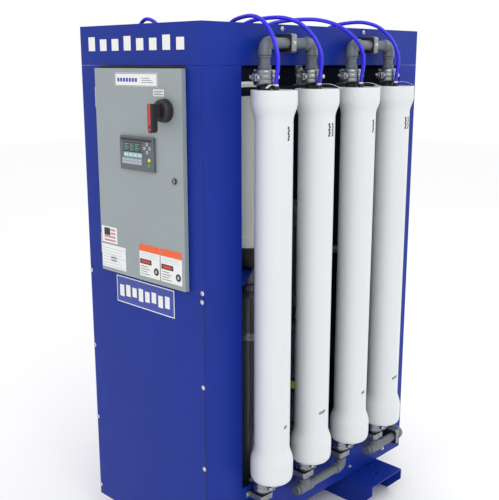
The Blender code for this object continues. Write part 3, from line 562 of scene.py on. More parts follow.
def pan_screw(radius=0.0058, height=0.0034):
    """Button head with a washer under it and a round recess, facing +Z."""
    bm = lathe(soften([(0, 0), (radius * 1.35, 0), (radius * 1.35, 0.0007), (radius, 0.0007),
                       (radius * 0.94, height * 0.6), (radius * 0.6, height), (radius * 0.42, height),
                       (radius * 0.36, height * 0.35), (0, height * 0.35)], 0.0004, 2), 28)
    return bm


def hex_bolt(across=0.010, height=0.0055):
    """Hexagon head on a washer, facing +Z."""
    bm = lathe(soften([(0, 0), (across * 0.85, 0), (across * 0.85, 0.0012), (0, 0.0012)], 0.0003, 2), 28)
    head = extrude(polygon(across / math.sqrt(3)), "Z", 0.0010, height, 0.0006, 2)
    mesh = bpy.data.meshes.new("head")
    head.to_mesh(mesh)
    head.free()
    bm.from_mesh(mesh)
    bpy.data.meshes.remove(mesh)
    return bm

# %% [markdown]
# ## Cabinet sheet metal
# The cabinet is folded 3 mm sheet, powder coated blue. The solids already have the right planes,
# so each one is copied, its flat faces are merged, and its edges get a small bevel. A folded
# edge on real sheet is never knife sharp, and the thin highlight that the bevel catches is what
# makes it read as metal. The hinge barrels on the surround get a bare steel finish.

# %% Cabinet panels and skid
HW, HD = 0.304, 0.5675
CAB_H, HEADER_Z = 1.742, 1.615
# The inner faces of the left panel, the back panel and the header get painted shade: a near-black finish in
# place of the blue, standing in for the shade inside the cabinet.
INSIDE_SHADE_FACES = {"left_side_panel": lambda c: c.x > -HW + 0.002 and abs(c.y) < HD - 0.020,
         "back_panel": lambda c: c.y < HD - 0.002 and abs(c.x) < HW - 0.0040,
         "header_band": lambda c: abs(c.x) < HW - 0.002 and abs(c.y) < HD - 0.002 and c.z < CAB_H - 0.002}
for node in ("skid_channel_near", "skid_channel_far", "lower_front_panel", "left_side_panel", "back_panel",
             "header_band", "near_side_panel", "far_side_panel", "base_pan"):
    second = (INSIDE_SHADE_FACES[node], PAINTED_SHADE) if node in INSIDE_SHADE_FACES else None
    dressed(node, BLUE, "blue_paint", width=0.0012 if "skid" in node else 0.0009, second=second)
# Painted shade: a black strip behind the corner seam of the lower front panel darkens the gap there.
corner_shade = Piece("corner_reveal", slot="black_plastic")
corner_shade.block((HW - 0.0063, -HD + 0.0008, 0.003), (HW - 0.0031, -HD + 0.012, 0.9030), RUBBER, 0.0002, 1)
corner_shade.done()
DOOR_L, DOOR_R, DOOR_B, DOOR_T = -0.203, 0.234, 0.917, 1.606
DOOR_FRONT = -HD - 0.019
dressed("front_surround", BLUE, "blue_paint", width=0.0005, second=(lambda c: c.y < -HD - 0.0008, BOLT))

EDGE_SCREWS = [((x, -HD - 0.0004, z), (0, -1, 0)) for z in (0.892, 0.606, 0.320, 0.038)
               for x in (-HW + 0.0055, HW - 0.013)] + [((HW - 0.011, -HD - 0.0004, 0.921), (0, -1, 0))]
SIDE_SCREWS = [((s * HW + s * 0.0004, y, CAB_H - 0.013), (s, 0, 0)) for s in (-1, 1)
               for y in (-0.218, 0.218)]
BACK_SCREWS = [((x, HD + 0.0004, z), (0, 1, 0)) for z in (0.05, 0.40, 0.80, 1.20, 1.58)
               for x in (-HW + 0.010, HW - 0.013)]
LEFT_SCREWS = [((-HW - 0.0004, y, z), (-1, 0, 0)) for z in (0.05, 0.56, 1.07, 1.58) for y in (-0.53, 0.53)]
HEADER_ENDS = [((x, HD + 0.0004, CAB_H - 0.013), (0, 1, 0)) for x in (-0.15, 0.15)]
scatter("panel_screws", pan_screw(), EDGE_SCREWS + SIDE_SCREWS + BACK_SCREWS + LEFT_SCREWS + HEADER_ENDS,
        BOLT)
ledge = [((0.318, y + s * 0.038, 0.0002), (0, 0, 1)) for y in (-0.2975, 0.2975) for s in (-1, 1)]
scatter("skid_bolts", hex_bolt(0.012, 0.005), ledge, BLUE)
scatter("skirt_bolts", hex_bolt(0.010, 0.006),
        [((HW + 0.0004, y, 0.034), (1, 0, 0)) for y in (-0.40 + 0.02, -0.215, 0.215, 0.44)], BOLT)

# %% [markdown]
# ## Control enclosure
# The grey door is a shallow folded tray. Its black gasket sits behind it. The dark line above the
# door is painted shade: a black strip fills the gap between the door and the header. The enclosure body
# behind is the same grey, with a plate that carries the switchgear; it only shows when the door is
# open, but the joint exists, so it must be there.

# %% Door, gasket and enclosure
dressed("enclosure_door", GREY, "grey_paint", "door", 0.0011, 3, (lambda c: c.x < DOOR_L - 0.0015, BOLT))
dressed("enclosure_box", GREY, "grey_paint", width=0.0007)
gasket = Piece("door_gasket", "door", "black_plastic")
y0, y1, inset, wide = DOOR_FRONT + 0.0023, DOOR_FRONT + 0.0072, 0.0028, 0.0120
xs, xe, zs, ze = DOOR_L + inset, DOOR_R - inset, DOOR_B + inset, DOOR_T - inset
for lo, hi in (((xs, y0, zs), (xs + wide, y1, ze)), ((xe - wide, y0, zs), (xe, y1, ze)),
               ((xs + wide, y0, zs), (xe - wide, y1, zs + wide)), ((xs + wide, y0, ze - wide),
                       (xe - wide, y1, ze))):
    gasket.block(lo, hi, RUBBER, 0.0018, 2)
gasket.done()
# Painted shade: a black strip in the gap above the door stands in for the shade in that gap.
gap_shade = Piece("header_gap_seal", slot="black_plastic")
gap_shade.block((DOOR_L + 0.002, -HD - 0.0005, DOOR_T + 0.0006), (DOOR_R - 0.002, -HD + 0.0025,
                                                            HEADER_Z - 0.0006), RUBBER, 0.0006)
gap_shade.done()

inside = Piece("switchgear", slot="black_plastic")
BOX_BACK = -0.400
plate_y = BOX_BACK - 0.006
inside.block((-0.172, plate_y - 0.002, 0.955), (0.203, plate_y, 1.568), GALV, 0.0006)
for z in (1.46, 1.25, 1.06):
    right = 0.110 if z > 1.4 else 0.190
    inside.block((-0.155, plate_y - 0.0095, z - 0.0175), (right, plate_y - 0.0025, z + 0.0175), STEEL,
                 0.0006)
for z in (1.355, 1.155):
    inside.block((-0.160, plate_y - 0.042, z - 0.018), (0.195 if z < 1.2 else -0.075, plate_y - 0.0025,
                                                        z + 0.018), PALE, 0.001)
x = -0.145
for k, width in enumerate((0.045, 0.045, 0.018, 0.018, 0.018, 0.036)):
    dark = k < 2
    inside.block((x, plate_y - 0.075, 1.215), (x + width - 0.001, plate_y - 0.010, 1.292), BLACK if dark
                 else PALE, 0.0015)
    inside.block((x + width * 0.3, plate_y - 0.080, 1.243), (x + width * 0.7, plate_y - 0.074, 1.262),
                 RED if dark else INK, 0.0010)
    x += width + 0.002
for k in range(22):
    x = -0.145 + 0.0145 * k
    tint = PALE if k % 5 else LIME
    inside.block((x, plate_y - 0.048, 1.036), (x + 0.0125, plate_y - 0.010, 1.086), tint, 0.0009)
for k in range(6):
    x = -0.148 + 0.033 * k
    inside.block((x, plate_y - 0.058, 1.425), (x + 0.030, plate_y - 0.010, 1.495), BLACK, 0.0016)
inside.done()
dressed("disconnect_switch", BLACK, "black_plastic", width=0.0018)

# %% [markdown]
# ## Disconnect handle and latch
# The pistol-grip handle is a round hub with a lever across it. Turning a profile gives the hub,
# with a soft rim where a thumb would rest; the lever is an extruded outline with rounded edges.
# The red strip is the on/off pointer. Ribs round the hub are repeated blocks, which is how
# moulded grips are made.

# %% Handle and latch
KX, KZ = 0.160, 1.480
back = DOOR_FRONT - 0.0004
handle = Piece("handle_detail", "disconnect", "black_plastic")
hub = soften([(0, 0), (0.0355, 0), (0.0355, 0.0195), (0.0315, 0.0285), (0.0150, 0.0285), (0.0140, 0.0270),
              (0, 0.0270)], 0.0030, 4)
handle.turned(hub, BLACK, 72, (KX, back, KZ), "Y")
for k in range(36):
    a = 2 * math.pi * k / 36
    rib = rounded_box((-0.0009, -0.0185, 0.0350), (0.0009, -0.0015, 0.0359), 0.0003, 1)
    handle.add(rib, BLACK, spin((KX, back, KZ), a, "Y"))
lever_y = -HD - 0.0860
low_z, high_z, half = KZ - 0.055, KZ + 0.0228, 0.0098


def lever_outline(half_width, top, foot, step):
    """A bar with a round lower end; step is the arc's spacing in degrees."""
    turns = [math.radians(a) for a in range(180, 361, step)]
    arc = [(KX + half_width * math.cos(a), foot + half_width * math.sin(a)) for a in turns]
    return [(KX - half_width, top)] + arc + [(KX + half_width, top)]


outline = lever_outline(half, high_z, low_z, 12)
handle.add(extrude(outline, "Y", lever_y, lever_y + 0.0258, 0.0026, 4), BLACK)
handle.block((KX - half * 0.88, lever_y + 0.022, KZ - 0.0195), (KX + half * 0.88, back - 0.020,
        KZ + 0.0215), BLACK, 0.002, 3)
inlay = lever_outline(half * 0.5, KZ + 0.0222, low_z + 0.001, 20)
handle.add(extrude(inlay, "Y", lever_y - 0.0001, lever_y + 0.0015, 0.0001, 1), RED)
handle.block((KX - half * 0.50, lever_y + 0.0022, KZ + 0.0205), (KX + half * 0.50, lever_y + 0.020,
        KZ + 0.0230), RED, 0.0004, 1)
handle.ring((0, 0.0040), (0, 0.0012), INK, 24, (KX, lever_y + 0.0003, KZ - 0.046), "Y", soft=(0.0004, 2))
handle.ring((0, 0.0106), (-0.0125, 0.0002), BLACK, 32, (KX, back, KZ), "Y")
handle.done("disconnect_handle")

LX, LZ = 0.194, 1.265
latch = Piece("latch_detail", "latch", "latch_steel")
latch.turned([(0, -0.001), (0.0095, -0.001), (0.0095, 0.0048), (0.0078, 0.0068), (0.0066, 0.0068),
              (0.0062, 0.0030), (0, 0.0030)], BLACK, 40, (LX, back, LZ), "Y", soft=(0.0007, 3))
latch.ring((0.0066, 0.0080), (0.0060, 0.0069), STEEL, 40, (LX, back, LZ), "Y", soft=(0.0003, 2))
slot_turn = Matrix.Rotation(math.radians(40), 4, "Y")
slot_turn = Matrix.Translation((LX, 0, LZ)) @ slot_turn @ Matrix.Translation((-LX, 0, -LZ))
latch.block((LX - 0.0013, back - 0.0062, LZ - 0.0046), (LX + 0.0013, back - 0.0028, LZ + 0.0046), STEEL,
            0.0003, 1, spot=slot_turn)
latch.ring((0, 0.0058), (-0.0135, 0), BOLT, 24, (LX, back, LZ), "Y")
latch.block((LX - 0.007, DOOR_FRONT + 0.010, LZ - 0.006), (DOOR_R - 0.0126, DOOR_FRONT + 0.0134,
                                                           LZ + 0.006), BOLT, 0.0008, 2)
latch.done("door_latch")

# %% [markdown]
# ## Panel controller
# The controller has a moulded bezel, a dark display window, printed key bands and sprung keys.
# The bezel keeps the solid's pockets, because the keys travel in them. The printed bands are
# thin films laid on its face; the marks on the keys are plain arrows.

# %% Controller face
face_y = back - 0.008
dressed("controller_housing", BEZEL, "bezel_plastic", "door", 0.0006, 2)
dressed("controller_screen", SCREEN, "screen_glass", "door", 0.0002, 1)
films = Piece("controller_films", "door", "bezel_plastic")
films.block((-0.048, face_y - 0.0003, 1.3250), (0.046, face_y + 0.0001, 1.3420), TEAL, 0.0001, 1)
films.block((-0.057, face_y - 0.0003, 1.3020), (0.046, face_y + 0.0001, 1.3235), MARK, 0.0001, 1)
for k in range(5):
    x = -0.055 + 0.0204 * k
    films.block((x, face_y - 0.0006, 1.3042), (x + 0.0168, face_y - 0.0002, 1.3213), KEY_GREY, 0.0002, 1)
    films.block((x + 0.004, face_y - 0.0008, 1.3118), (x + 0.0128, face_y - 0.0005, 1.3136), INK, 0.0001, 1)
for k in range(4):
    x = -0.044 + 0.0234 * k
    films.block((x, face_y - 0.0006, 1.3288), (x + 0.0190, face_y - 0.0002, 1.3382), PALE, 0.0002, 1)
films.block((-0.060, face_y - 0.0004, 1.3785), (0.096, face_y + 0.0001, 1.3870), INK, 0.0001, 1)
for lo, hi in (((-0.0535, 1.3425), (0.0505, 1.3440)), ((-0.0535, 1.3730), (0.0505, 1.3745))):
    films.block((lo[0], face_y - 0.0010, lo[1]), (hi[0], face_y + 0.0002, hi[1]), BLACK, 0.0003, 1)
for row in range(4):
    for col in range(3):
        x = -0.042 + 0.0270 * col
        z = 1.3490 + 0.0060 * row
        films.block((x, face_y + 0.0002, z), (x + 0.013 + 0.007 * ((row + col) % 2), face_y + 0.0005,
                                              z + 0.0018), TEAL, 0.0001, 1)
films.done()
AX, AZ = 0.0735, 1.3590
KEYS = {"key_up": (0, 0.0125, 0), "key_down": (0, -0.0125, 180), "key_left": (-0.0125, 0, 90),
        "key_right": (0.0125, 0, -90)}
for node, (dx, dz, turn) in KEYS.items():
    key = Piece(node + "_cap", node, "key_grey")
    kx, kz = AX + dx, AZ + dz
    key.block((kx - 0.0052, face_y - 0.0018, kz - 0.0052), (kx + 0.0052, face_y + 0.0030, kz + 0.0052),
              KEY_GREY, 0.0011, 3)
    arrow = extrude([(-0.0024, -0.0014), (0.0024, -0.0014), (0, 0.0024)], "Y", -0.0001, 0.0003, 0)
    key.add(arrow, INK, spin((kx, face_y - 0.0018, kz), math.radians(-turn), "Y"))
    key.done(node)
for node, kz, mat, slot in (("key_alarm", 1.3215, KEY_YELLOW, "key_yellow"),
                            ("key_run", 1.3035, KEY_GREEN, "key_green")):
    key = Piece(node + "_cap", node, slot)
    key.turned([(0, -0.0030), (0.0058, -0.0030), (0.0058, 0.0010), (0.0046, 0.0018), (0, 0.0018)], mat,
               36, (0.082, face_y, kz), "Y", soft=(0.0006, 3))
    key.done(node)

# %% [markdown]
# ## Plates and stickers
# The door carries rating and safety plates. They are thin printed films, so each is a slab under
# a millimetre thick with smaller coloured blocks on it. They hold plain bars and shapes only and
# no lettering.

# %% Plates on the door and the sign below it
plates = Piece("door_plates", "door", "grey_paint")


def film(x0, x1, z0, z1, material, level=0, piece=plates, base=back):
    front = base - 0.0006 - 0.00025 * level
    rear = front + 0.0002 if level else base + 0.0001
    piece.block((x0, front, z0), (x1, rear, z1), material, 0.0001 if level else 0.0003, 1)


film(-0.091, 0.123, 1.550, 1.592, WHITE)
for x0, x1, z0, z1 in ((-0.0895, 0.1215, 1.5888, 1.5906), (-0.0895, 0.1215, 1.5514, 1.5532),
                       (-0.0895, -0.0877, 1.5532, 1.5888), (0.1197, 0.1215, 1.5532, 1.5888)):
    film(x0, x1, z0, z1, MARK, 1)
for k in range(7):
    x = -0.078 + 0.0150 * k
    film(x, x + 0.0110, 1.5640, 1.5760, SIGN, 1)
for k in range(3):
    film(0.044, 0.104 - 0.010 * k, 1.5620 + 0.0065 * k, 1.5640 + 0.0065 * k, MARK, 1)
film(0.101, 0.152, 1.522, 1.543, WHITE)
for k in range(3):
    film(0.105, 0.148 - 0.008 * (k % 2), 1.5262 + 0.0052 * k, 1.5282 + 0.0052 * k, INK, 1)
film(-0.197, -0.111, 1.018, 1.075, WHITE)
film(-0.183, -0.150, 1.044, 1.070, INK, 1)
for k in range(4):
    film(-0.183 if k < 2 else -0.147, -0.121, 1.0240 + 0.0125 * k, 1.0300 + 0.0125 * k, DUSTY, 1)
film(-0.200, -0.067, 0.930, 1.012, WHITE)
for k in range(7):
    film(-0.195, -0.074 - 0.012 * (k % 3), 0.9350 + 0.0104 * k, 0.9378 + 0.0104 * k, PALE, 1)
film(-0.150, -0.118, 0.955, 0.975, PALE, 1)
for x0, x1 in ((0.008, 0.112), (0.117, 0.221)):
    film(x0, x1, 0.933, 1.042, WHITE)
    film(x0, x1, 1.0180, 1.0420, ORANGE, 1)
    for k in range(3):
        film(x0 + 0.008, x1 - 0.008 - 0.012 * (k % 2), 0.9980 + 0.0060 * k, 0.9998 + 0.0060 * k, PALE, 1)
    film(x0 + 0.003, x0 + 0.062, 0.9750, 0.9920, INK, 1)
    film(x0 + 0.010, x0 + 0.055, 0.9790, 0.9880, RED, 2)
    for k in range(4):
        film(x0 + 0.006, x0 + 0.052 - 0.010 * (k % 2), 0.9400 + 0.0085 * k, 0.9425 + 0.0085 * k, MARK, 1)
    disc = lathe(soften([(0, 0), (0.0125, 0), (0.0125, 0.0011), (0, 0.0011)], 0.0002, 1), 32,
                 (x1 - 0.018, back, 0.9580), "Y")
    plates.add(disc, INK)
    film(x1 - 0.0215, x1 - 0.0145, 0.9530, 0.9630, PALE, 3)
plates.done()
sign = Piece("sign_plate", slot="blue_paint")
sign_y = -HD - 0.0004
film(-0.148, 0.158, 0.808, 0.903, WHITE, 0, sign, sign_y)
film(-0.1445, 0.1545, 0.8115, 0.8995, SIGN, 1, sign, sign_y)
for k in range(8):
    x = -0.130 + 0.0345 * k
    film(x, x + 0.0235, 0.8310 + 0.004 * (k % 3), 0.8720 + 0.004 * (k % 2), WHITE, 2, sign, sign_y)
for k in range(8):
    x = -0.256 + 0.0640 * k
    film(x, x + 0.0360, 1.6610, 1.6980 + (0.008 if k % 3 == 0 else 0), WHITE, 0, sign, sign_y)
sign.done()
print("cabinet and door done")

# %% [markdown]
# ## Membrane vessels
# A vessel is a filament-wound tube with a thicker bell at each end, sprayed with white gel coat.
# It is a pure turned shape, so one profile makes it. The bell's shoulder is a soft curve and its
# rim is a rounded lip. Inside the rim sits a black end cap held by a split steel ring.

# %% Vessels and end caps
VESSEL_X, PORT_X = 0.384, 0.346
VESSEL_Y = (-0.342, -0.134, 0.093, 0.303)
PORT_Y = (-0.3445, -0.1205, 0.0965, 0.3165)
TOP, BOTTOM = 1.542, 0.238
BODY_R, BELL_R, NIPPLE_R = 0.0605, 0.0730, 0.0205


def ease(a, b, z0, z1, count):
    """Points of a soft shoulder from radius a at z0 to radius b at z1."""
    return [(a + (b - a) * (0.5 - 0.5 * math.cos(math.pi * k / count)), z0 + (z1 - z0) * k / count)
            for k in range(count + 1)]


shell_profile = [(0.0625, BOTTOM + 0.004), (0.0635, BOTTOM + 0.001), (0.0655, BOTTOM),
                 (0.0682, BOTTOM + 0.0032),
                 (0.0706, BOTTOM + 0.0085), (0.0721, BOTTOM + 0.0155), (0.0728, BOTTOM + 0.0235)]
shell_profile += ease(BELL_R, BELL_R, BOTTOM + 0.032, BOTTOM + 0.066, 2)
shell_profile += ease(BELL_R, BODY_R, BOTTOM + 0.068, BOTTOM + 0.124, 14)
shell_profile += [(BODY_R, BOTTOM + 0.124 + (TOP - 0.092 - BOTTOM - 0.124) * k / 8) for k in range(1, 8)]
shell_profile += ease(BODY_R, BELL_R, TOP - 0.092, TOP - 0.040, 14)
shell_profile += [(BELL_R, TOP - 0.0030), (0.0724, TOP - 0.0012), (0.0712, TOP - 0.0003), (0.0698, TOP),
                  (0.0640, TOP), (0.0630, TOP - 0.0005), (0.0625, TOP - 0.0018), (0.0625, TOP - 0.030),
                  (0.0600, TOP - 0.032),
                  (0.0600, BOTTOM + 0.032), (0.0625, BOTTOM + 0.030)]
for number, (y, port_y) in enumerate(zip(VESSEL_Y, PORT_Y), start=1):
    shell = Piece(f"vessel_{number}", slot="white_frp")
    shell.turned(shell_profile, FRP, 112, (VESSEL_X, y, 0))
    shell.ring((0, 0.0592), (BOTTOM + 0.024, BOTTOM + 0.050), BLACK, 64, (VESSEL_X, y, 0), soft=(0.001, 2))
    shell.ring((0.0590, 0.0618), (BOTTOM + 0.0190, BOTTOM + 0.0225), STEEL, 64, (VESSEL_X, y, 0))
    shell.ring((0, NIPPLE_R), (0.2045, BOTTOM + 0.030), BLACK, 40, (PORT_X, port_y, 0), soft=(0.001, 2))
    shell.done(f"vessel_shell_{number}")
    cap = Piece(f"vessel_cap_{number}", slot="cap_black")
    cap.turned([(0, TOP - 0.060), (0.0598, TOP - 0.060), (0.0598, TOP - 0.0225), (0.0560, TOP - 0.0210),
                (0, TOP - 0.0210)], BLACK, 80, (VESSEL_X, y, 0), soft=(0.0012, 3))
    ring = [(0.0575, TOP - 0.0200), (0.0618, TOP - 0.0200), (0.0618, TOP - 0.0165), (0.0575, TOP - 0.0165)]
    cap.turned(ring, STEEL, 96, (VESSEL_X, y, 0), soft=(0.0005, 2))
    cap.ring((0, NIPPLE_R), (TOP - 0.030, 1.578), BLACK, 40, (PORT_X, port_y, 0), soft=(0.001, 2))
    px = VESSEL_X + 0.007
    cap.turned([(0, TOP - 0.030), (0.0130, TOP - 0.030), (0.0130, TOP - 0.012), (0.0115, TOP - 0.010),
                (0.0115, TOP - 0.001), (0.0096, TOP + 0.001), (0.0096, TOP + 0.0098), (0, TOP + 0.0098)],
               BLACK, 40, (px, y, 0), soft=(0.0007, 2))
    nut = polygon(0.0125 / math.cos(math.pi / 6), centre=(px, y))
    cap.add(extrude(nut, "Z", TOP - 0.0115, TOP - 0.0030, 0.0010, 2), BLACK)
    cap.ring((0, 0.0485), (BOTTOM + 0.117, TOP - 0.106), WHITE, 48, (VESSEL_X, y, 0))
    cap.done(f"vessel_top_cap_{number}")
marks = Piece("vessel_marks", slot="white_frp")
for i, y in enumerate(VESSEL_Y):
    for column in range(2 if i % 2 else 1):
        for k in range(5):
            turn = (0, -8, 4, -6)[i] + 16 * column + 2.0 * (k % 2)
            spot = spin((VESSEL_X, y, 1.394 + 0.0088 * k), math.radians(turn), "Z")
            marks.block((BODY_R - 0.0003, -0.0036, -0.0039), (BODY_R + 0.00035, 0.0036, 0.0039), INK, 0,
                        spot=spot)
    for k in range((3, 6, 4, 6)[i]):
        turn = (-4, -22, -8, -16)[i] + 4.4 * k
        spot = spin((VESSEL_X, y, (0.442, 0.430, 0.433, 0.431)[i] + 0.0010 * k), math.radians(turn), "Z")
        marks.block((BODY_R - 0.0003, -0.0020, -0.0052), (BODY_R + 0.00025, 0.0020, 0.0052), MARK, 0,
                    spot=spot)
marks.done()
print("vessels done, rim at", round(TOP + SKID_H, 3))

# %% [markdown]
# ## Grooved couplings
# Two cast half-rings squeeze a rubber gasket round the pipe ends, drawn together by two bolts.
# The housing is a turned band whose edges roll inward, the bolt pads stand out on opposite
# sides with a split between them, and a raised rib runs round the middle. The casting is
# rough and zinc plated, so its material has more relief than any other here.

# %% Couplings
COUPLING_Z, FOOT_Z = 1.579, 0.203


def coupling(piece, spot):
    half = 0.0248
    band = soften([(0.0222, -half), (0.0300, -half), (0.0345, -half + 0.0035), (0.0358, -half + 0.010),
                   (0.0345, -0.0065),
                   (0.0358, -0.0040), (0.0359, 0.0040), (0.0345, 0.0065), (0.0358, half - 0.010),
                   (0.0345, half - 0.0035), (0.0300, half), (0.0222, half)], 0.0018, 3)
    piece.turned(band, ZINC, 72, spot=spot.copy())
    piece.ring((0.0206, 0.0228), (-half + 0.003, half - 0.003), RUBBER, 56, soft=(0.0008, 2),
               spot=spot.copy())
    for s in (-1, 1):
        pad = [(-0.0125, s * 0.0300), (-0.0105, s * 0.0440), (-0.0075, s * 0.0505), (-0.0017, s * 0.0508),
               (-0.0017, s * 0.0300)]
        for side in (1, -1):
            piece.add(extrude([(u * side, v) for u, v in pad], "Z", -0.0118, 0.0118, 0.0022, 3), ZINC,
                      spot.copy())
        piece.ring((0, 0.0048), (-0.0190, 0.0185), BOLT, 24, (0, s * 0.044, 0), "X", soft=(0.0005, 2),
                   spot=spot.copy())
        for lo, hi in ((-0.0195, -0.0128), (0.0128, 0.0175)):
            nut = extrude(polygon(0.0072), "Z", lo, hi, 0.0008, 2)
            piece.add(nut, BOLT,
                      spot @ Matrix.Translation((0, s * 0.044, 0)) @ Matrix.Rotation(math.radians(90), 4,
                              "Y"))


for number, y in enumerate(PORT_Y, start=1):
    upper = Piece(f"coupling_top_{number}", slot="zinc_cast")
    coupling(upper, Matrix.Translation((PORT_X, y, COUPLING_Z)))
    upper.done(f"top_coupling_{number}")
    lower = Piece(f"coupling_foot_{number}", slot="zinc_cast")
    coupling(lower, spin((PORT_X, y, FOOT_Z), math.radians(90), "Z"))
    lower.done(f"bottom_coupling_{number}")

# %% [markdown]
# ## PVC pipework
# The pipes are one-inch grey PVC with glued elbows. A pipe is a circle swept along a path; at an
# elbow the circle grows to the fitting's size, with a rounded lip where the pipe enters it and a
# thin bead of cement. The stations keep the same length of path as the solid pipes.

# %% Rigid pipes
PIPE_R, SOCKET_R = 0.0167, 0.0212


def rigid_pipe(piece, corners, radius=PIPE_R, socket=SOCKET_R, bend=0.022, reach=0.024, collars=(),
               tail=(), material=None):
    material = material or PVC
    pts = [Vector(c) for c in corners]
    first, last = (pts[1] - pts[0]).normalized(), (pts[-1] - pts[-2]).normalized()

    def band(start, direction, length, r):
        return [(start, direction, r - 0.0010), (start + direction * 0.0009, direction, r),
                (start + direction * (length - 0.0009), direction, r), (start + direction * length,
                        direction, r - 0.0010)]

    stations = []
    for distance, length, r in collars:
        if distance > 1e-6:
            stations.append((pts[0] + first * (distance - 0.0001), first, radius))
        stations += band(pts[0] + first * distance, first, length, r)
        stations.append((pts[0] + first * (distance + length + 0.0001), first, radius))
    if not collars:
        stations += [(pts[0], first, radius - 0.0008), (pts[0] + first * 0.0008, first, radius)]
    for a, b, c in zip(pts, pts[1:], pts[2:]):
        inward, outward = (b - a).normalized(), (c - b).normalized()
        start, end = b - inward * bend, b + outward * bend
        lip_in, lip_out = start - inward * reach, end + outward * reach
        stations += [(lip_in - inward * 0.0012, inward, radius), (lip_in, inward, socket - 0.0016),
                     (lip_in + inward * 0.0012, inward, socket)]
        stations += [(start - inward * 0.0012, inward, socket), (start, inward, socket - 0.0006)]
        centre = start + outward * bend
        for k in range(1, 12):
            angle = math.pi / 2 * k / 12
            point = centre - outward * bend * math.cos(angle) + inward * bend * math.sin(angle)
            stations.append((point, inward * math.cos(angle) + outward * math.sin(angle), socket - 0.0008))
        stations += [(end, outward, socket - 0.0006), (end + outward * 0.0012, outward, socket)]
        stations += [(lip_out - outward * 0.0012, outward, socket), (lip_out, outward, socket - 0.0016),
                     (lip_out + outward * 0.0012, outward, radius)]
    for distance, length, r in tail:
        low = pts[-1] - last * (distance + length)
        stations.append((low - last * 0.0001, last, radius))
        stations += band(low, last, length, r)
        if distance > 1e-6:
            stations.append((low + last * (length + 0.0001), last, radius))
    if not tail:
        stations += [(pts[-1] - last * 0.0008, last, radius), (pts[-1], last, radius - 0.0008)]
    piece.add(sweep(stations), material)
    for a, b, c in zip(pts, pts[1:], pts[2:]):
        inward, outward = (b - a).normalized(), (c - b).normalized()
        for point, direction in ((b - inward * (bend + reach), inward), (b + outward * (bend + reach),
                outward)):
            piece.add(sweep([(point - direction * 0.0014, direction, radius + 0.0002),
                             (point, direction, radius + 0.0016),
                             (point + direction * 0.0012, direction, radius + 0.0004)], 32), CEMENT)


START, FOOT_END, TOP_Z, LOW_Z = COUPLING_Z + 0.003, FOOT_Z - 0.003, 1.683, 0.100
BANDS = ((0.0, 0.034, NIPPLE_R), (0.056, 0.006, 0.0200))
for node, y0, y1 in (("crossover_front", PORT_Y[0], PORT_Y[1]), ("crossover_rear", PORT_Y[2], PORT_Y[3])):
    pipe = Piece(node + "_pipe", slot="pvc_grey")
    rigid_pipe(pipe, [(PORT_X, y0, START), (PORT_X, y0, TOP_Z), (PORT_X, y1, TOP_Z), (PORT_X, y1, START)],
               reach=0.016, collars=BANDS, tail=BANDS[::-1])
    pipe.done(node)


def tee(piece, y):
    body = soften([(0, -0.036), (SOCKET_R, -0.036), (SOCKET_R, 0.036), (0, 0.036)], 0.0014, 2)
    piece.turned(body, PVC, 48, (PORT_X, y, LOW_Z), "Y")
    piece.turned([(0, LOW_Z), (0.0208, LOW_Z), (0.0208, LOW_Z + 0.034), (PIPE_R, LOW_Z + 0.034),
                  (PIPE_R, FOOT_END - 0.024), (NIPPLE_R, FOOT_END - 0.024), (NIPPLE_R, FOOT_END),
                  (0, FOOT_END)], PVC, 48, (PORT_X, y, 0), soft=(0.0012, 2))


bottom = Piece("crossover_bottom_pipe", slot="pvc_grey")
rigid_pipe(bottom, [(PORT_X, PORT_Y[2], FOOT_END), (PORT_X, PORT_Y[2], LOW_Z), (PORT_X, PORT_Y[1] - 0.050,
        LOW_Z)],
           reach=0.014, collars=((0.0, 0.024, NIPPLE_R),))
tee(bottom, PORT_Y[1])
bottom.done("crossover_bottom")
PUMP = (0.040, 0.200)
feed = Piece("feed_pipe_run", slot="pvc_grey")
rigid_pipe(feed, [(PORT_X, PORT_Y[0], FOOT_END), (PORT_X, PORT_Y[0], LOW_Z), (PUMP[0], PORT_Y[0], LOW_Z),
                  (PUMP[0], PUMP[1] - 0.098, LOW_Z)],
           reach=0.014, collars=((0.0, 0.024, NIPPLE_R),))
feed.done("feed_pipe")
drain = Piece("concentrate_pipe_run", slot="pvc_grey")
PORTS = ((0.215, LOW_Z), (-0.200, 0.300), (-0.070, 0.820))
END_Y = HD + 0.086
rigid_pipe(drain, [(PORT_X, PORT_Y[3] - 0.050, LOW_Z), (PORT_X, 0.505, LOW_Z),
                   (PORTS[0][0], 0.505, LOW_Z), (PORTS[0][0], END_Y, LOW_Z)],
           bend=0.023, reach=0.010)
tee(drain, PORT_Y[3])
drain.done("concentrate_pipe")
product = Piece("product_pipe_run", slot="pvc_grey")
rigid_pipe(product, [(-0.255, -0.372, 1.480), (-0.255, -0.372, 0.300), (-0.255, 0.300, 0.300),
                     (-0.200, 0.300, 0.300), (-0.200, END_Y, 0.300)],
           0.0134, 0.0170, 0.018, 0.008, ((0.0, 0.030, 0.0170),))
product.done("product_pipe")
inlet = Piece("inlet_pipe_run", slot="pvc_grey")
rigid_pipe(inlet, [(0.0496, -0.215, 0.960), (-0.070, -0.215, 0.960), (-0.070, -0.215, 0.820),
                   (-0.070, END_Y, 0.820)], bend=0.023, reach=0.010)
inlet.done("inlet_pipe")
MX, MZ, PX, PY = 0.165, 1.630, -0.105, -0.372
manifold = Piece("permeate_manifold_run", slot="pvc_grey")
rigid_pipe(manifold, [(MX, 0.175, MZ), (MX, PY, MZ), (PX - 0.025, PY, MZ)], 0.0134, 0.0170, 0.018, 0.014)
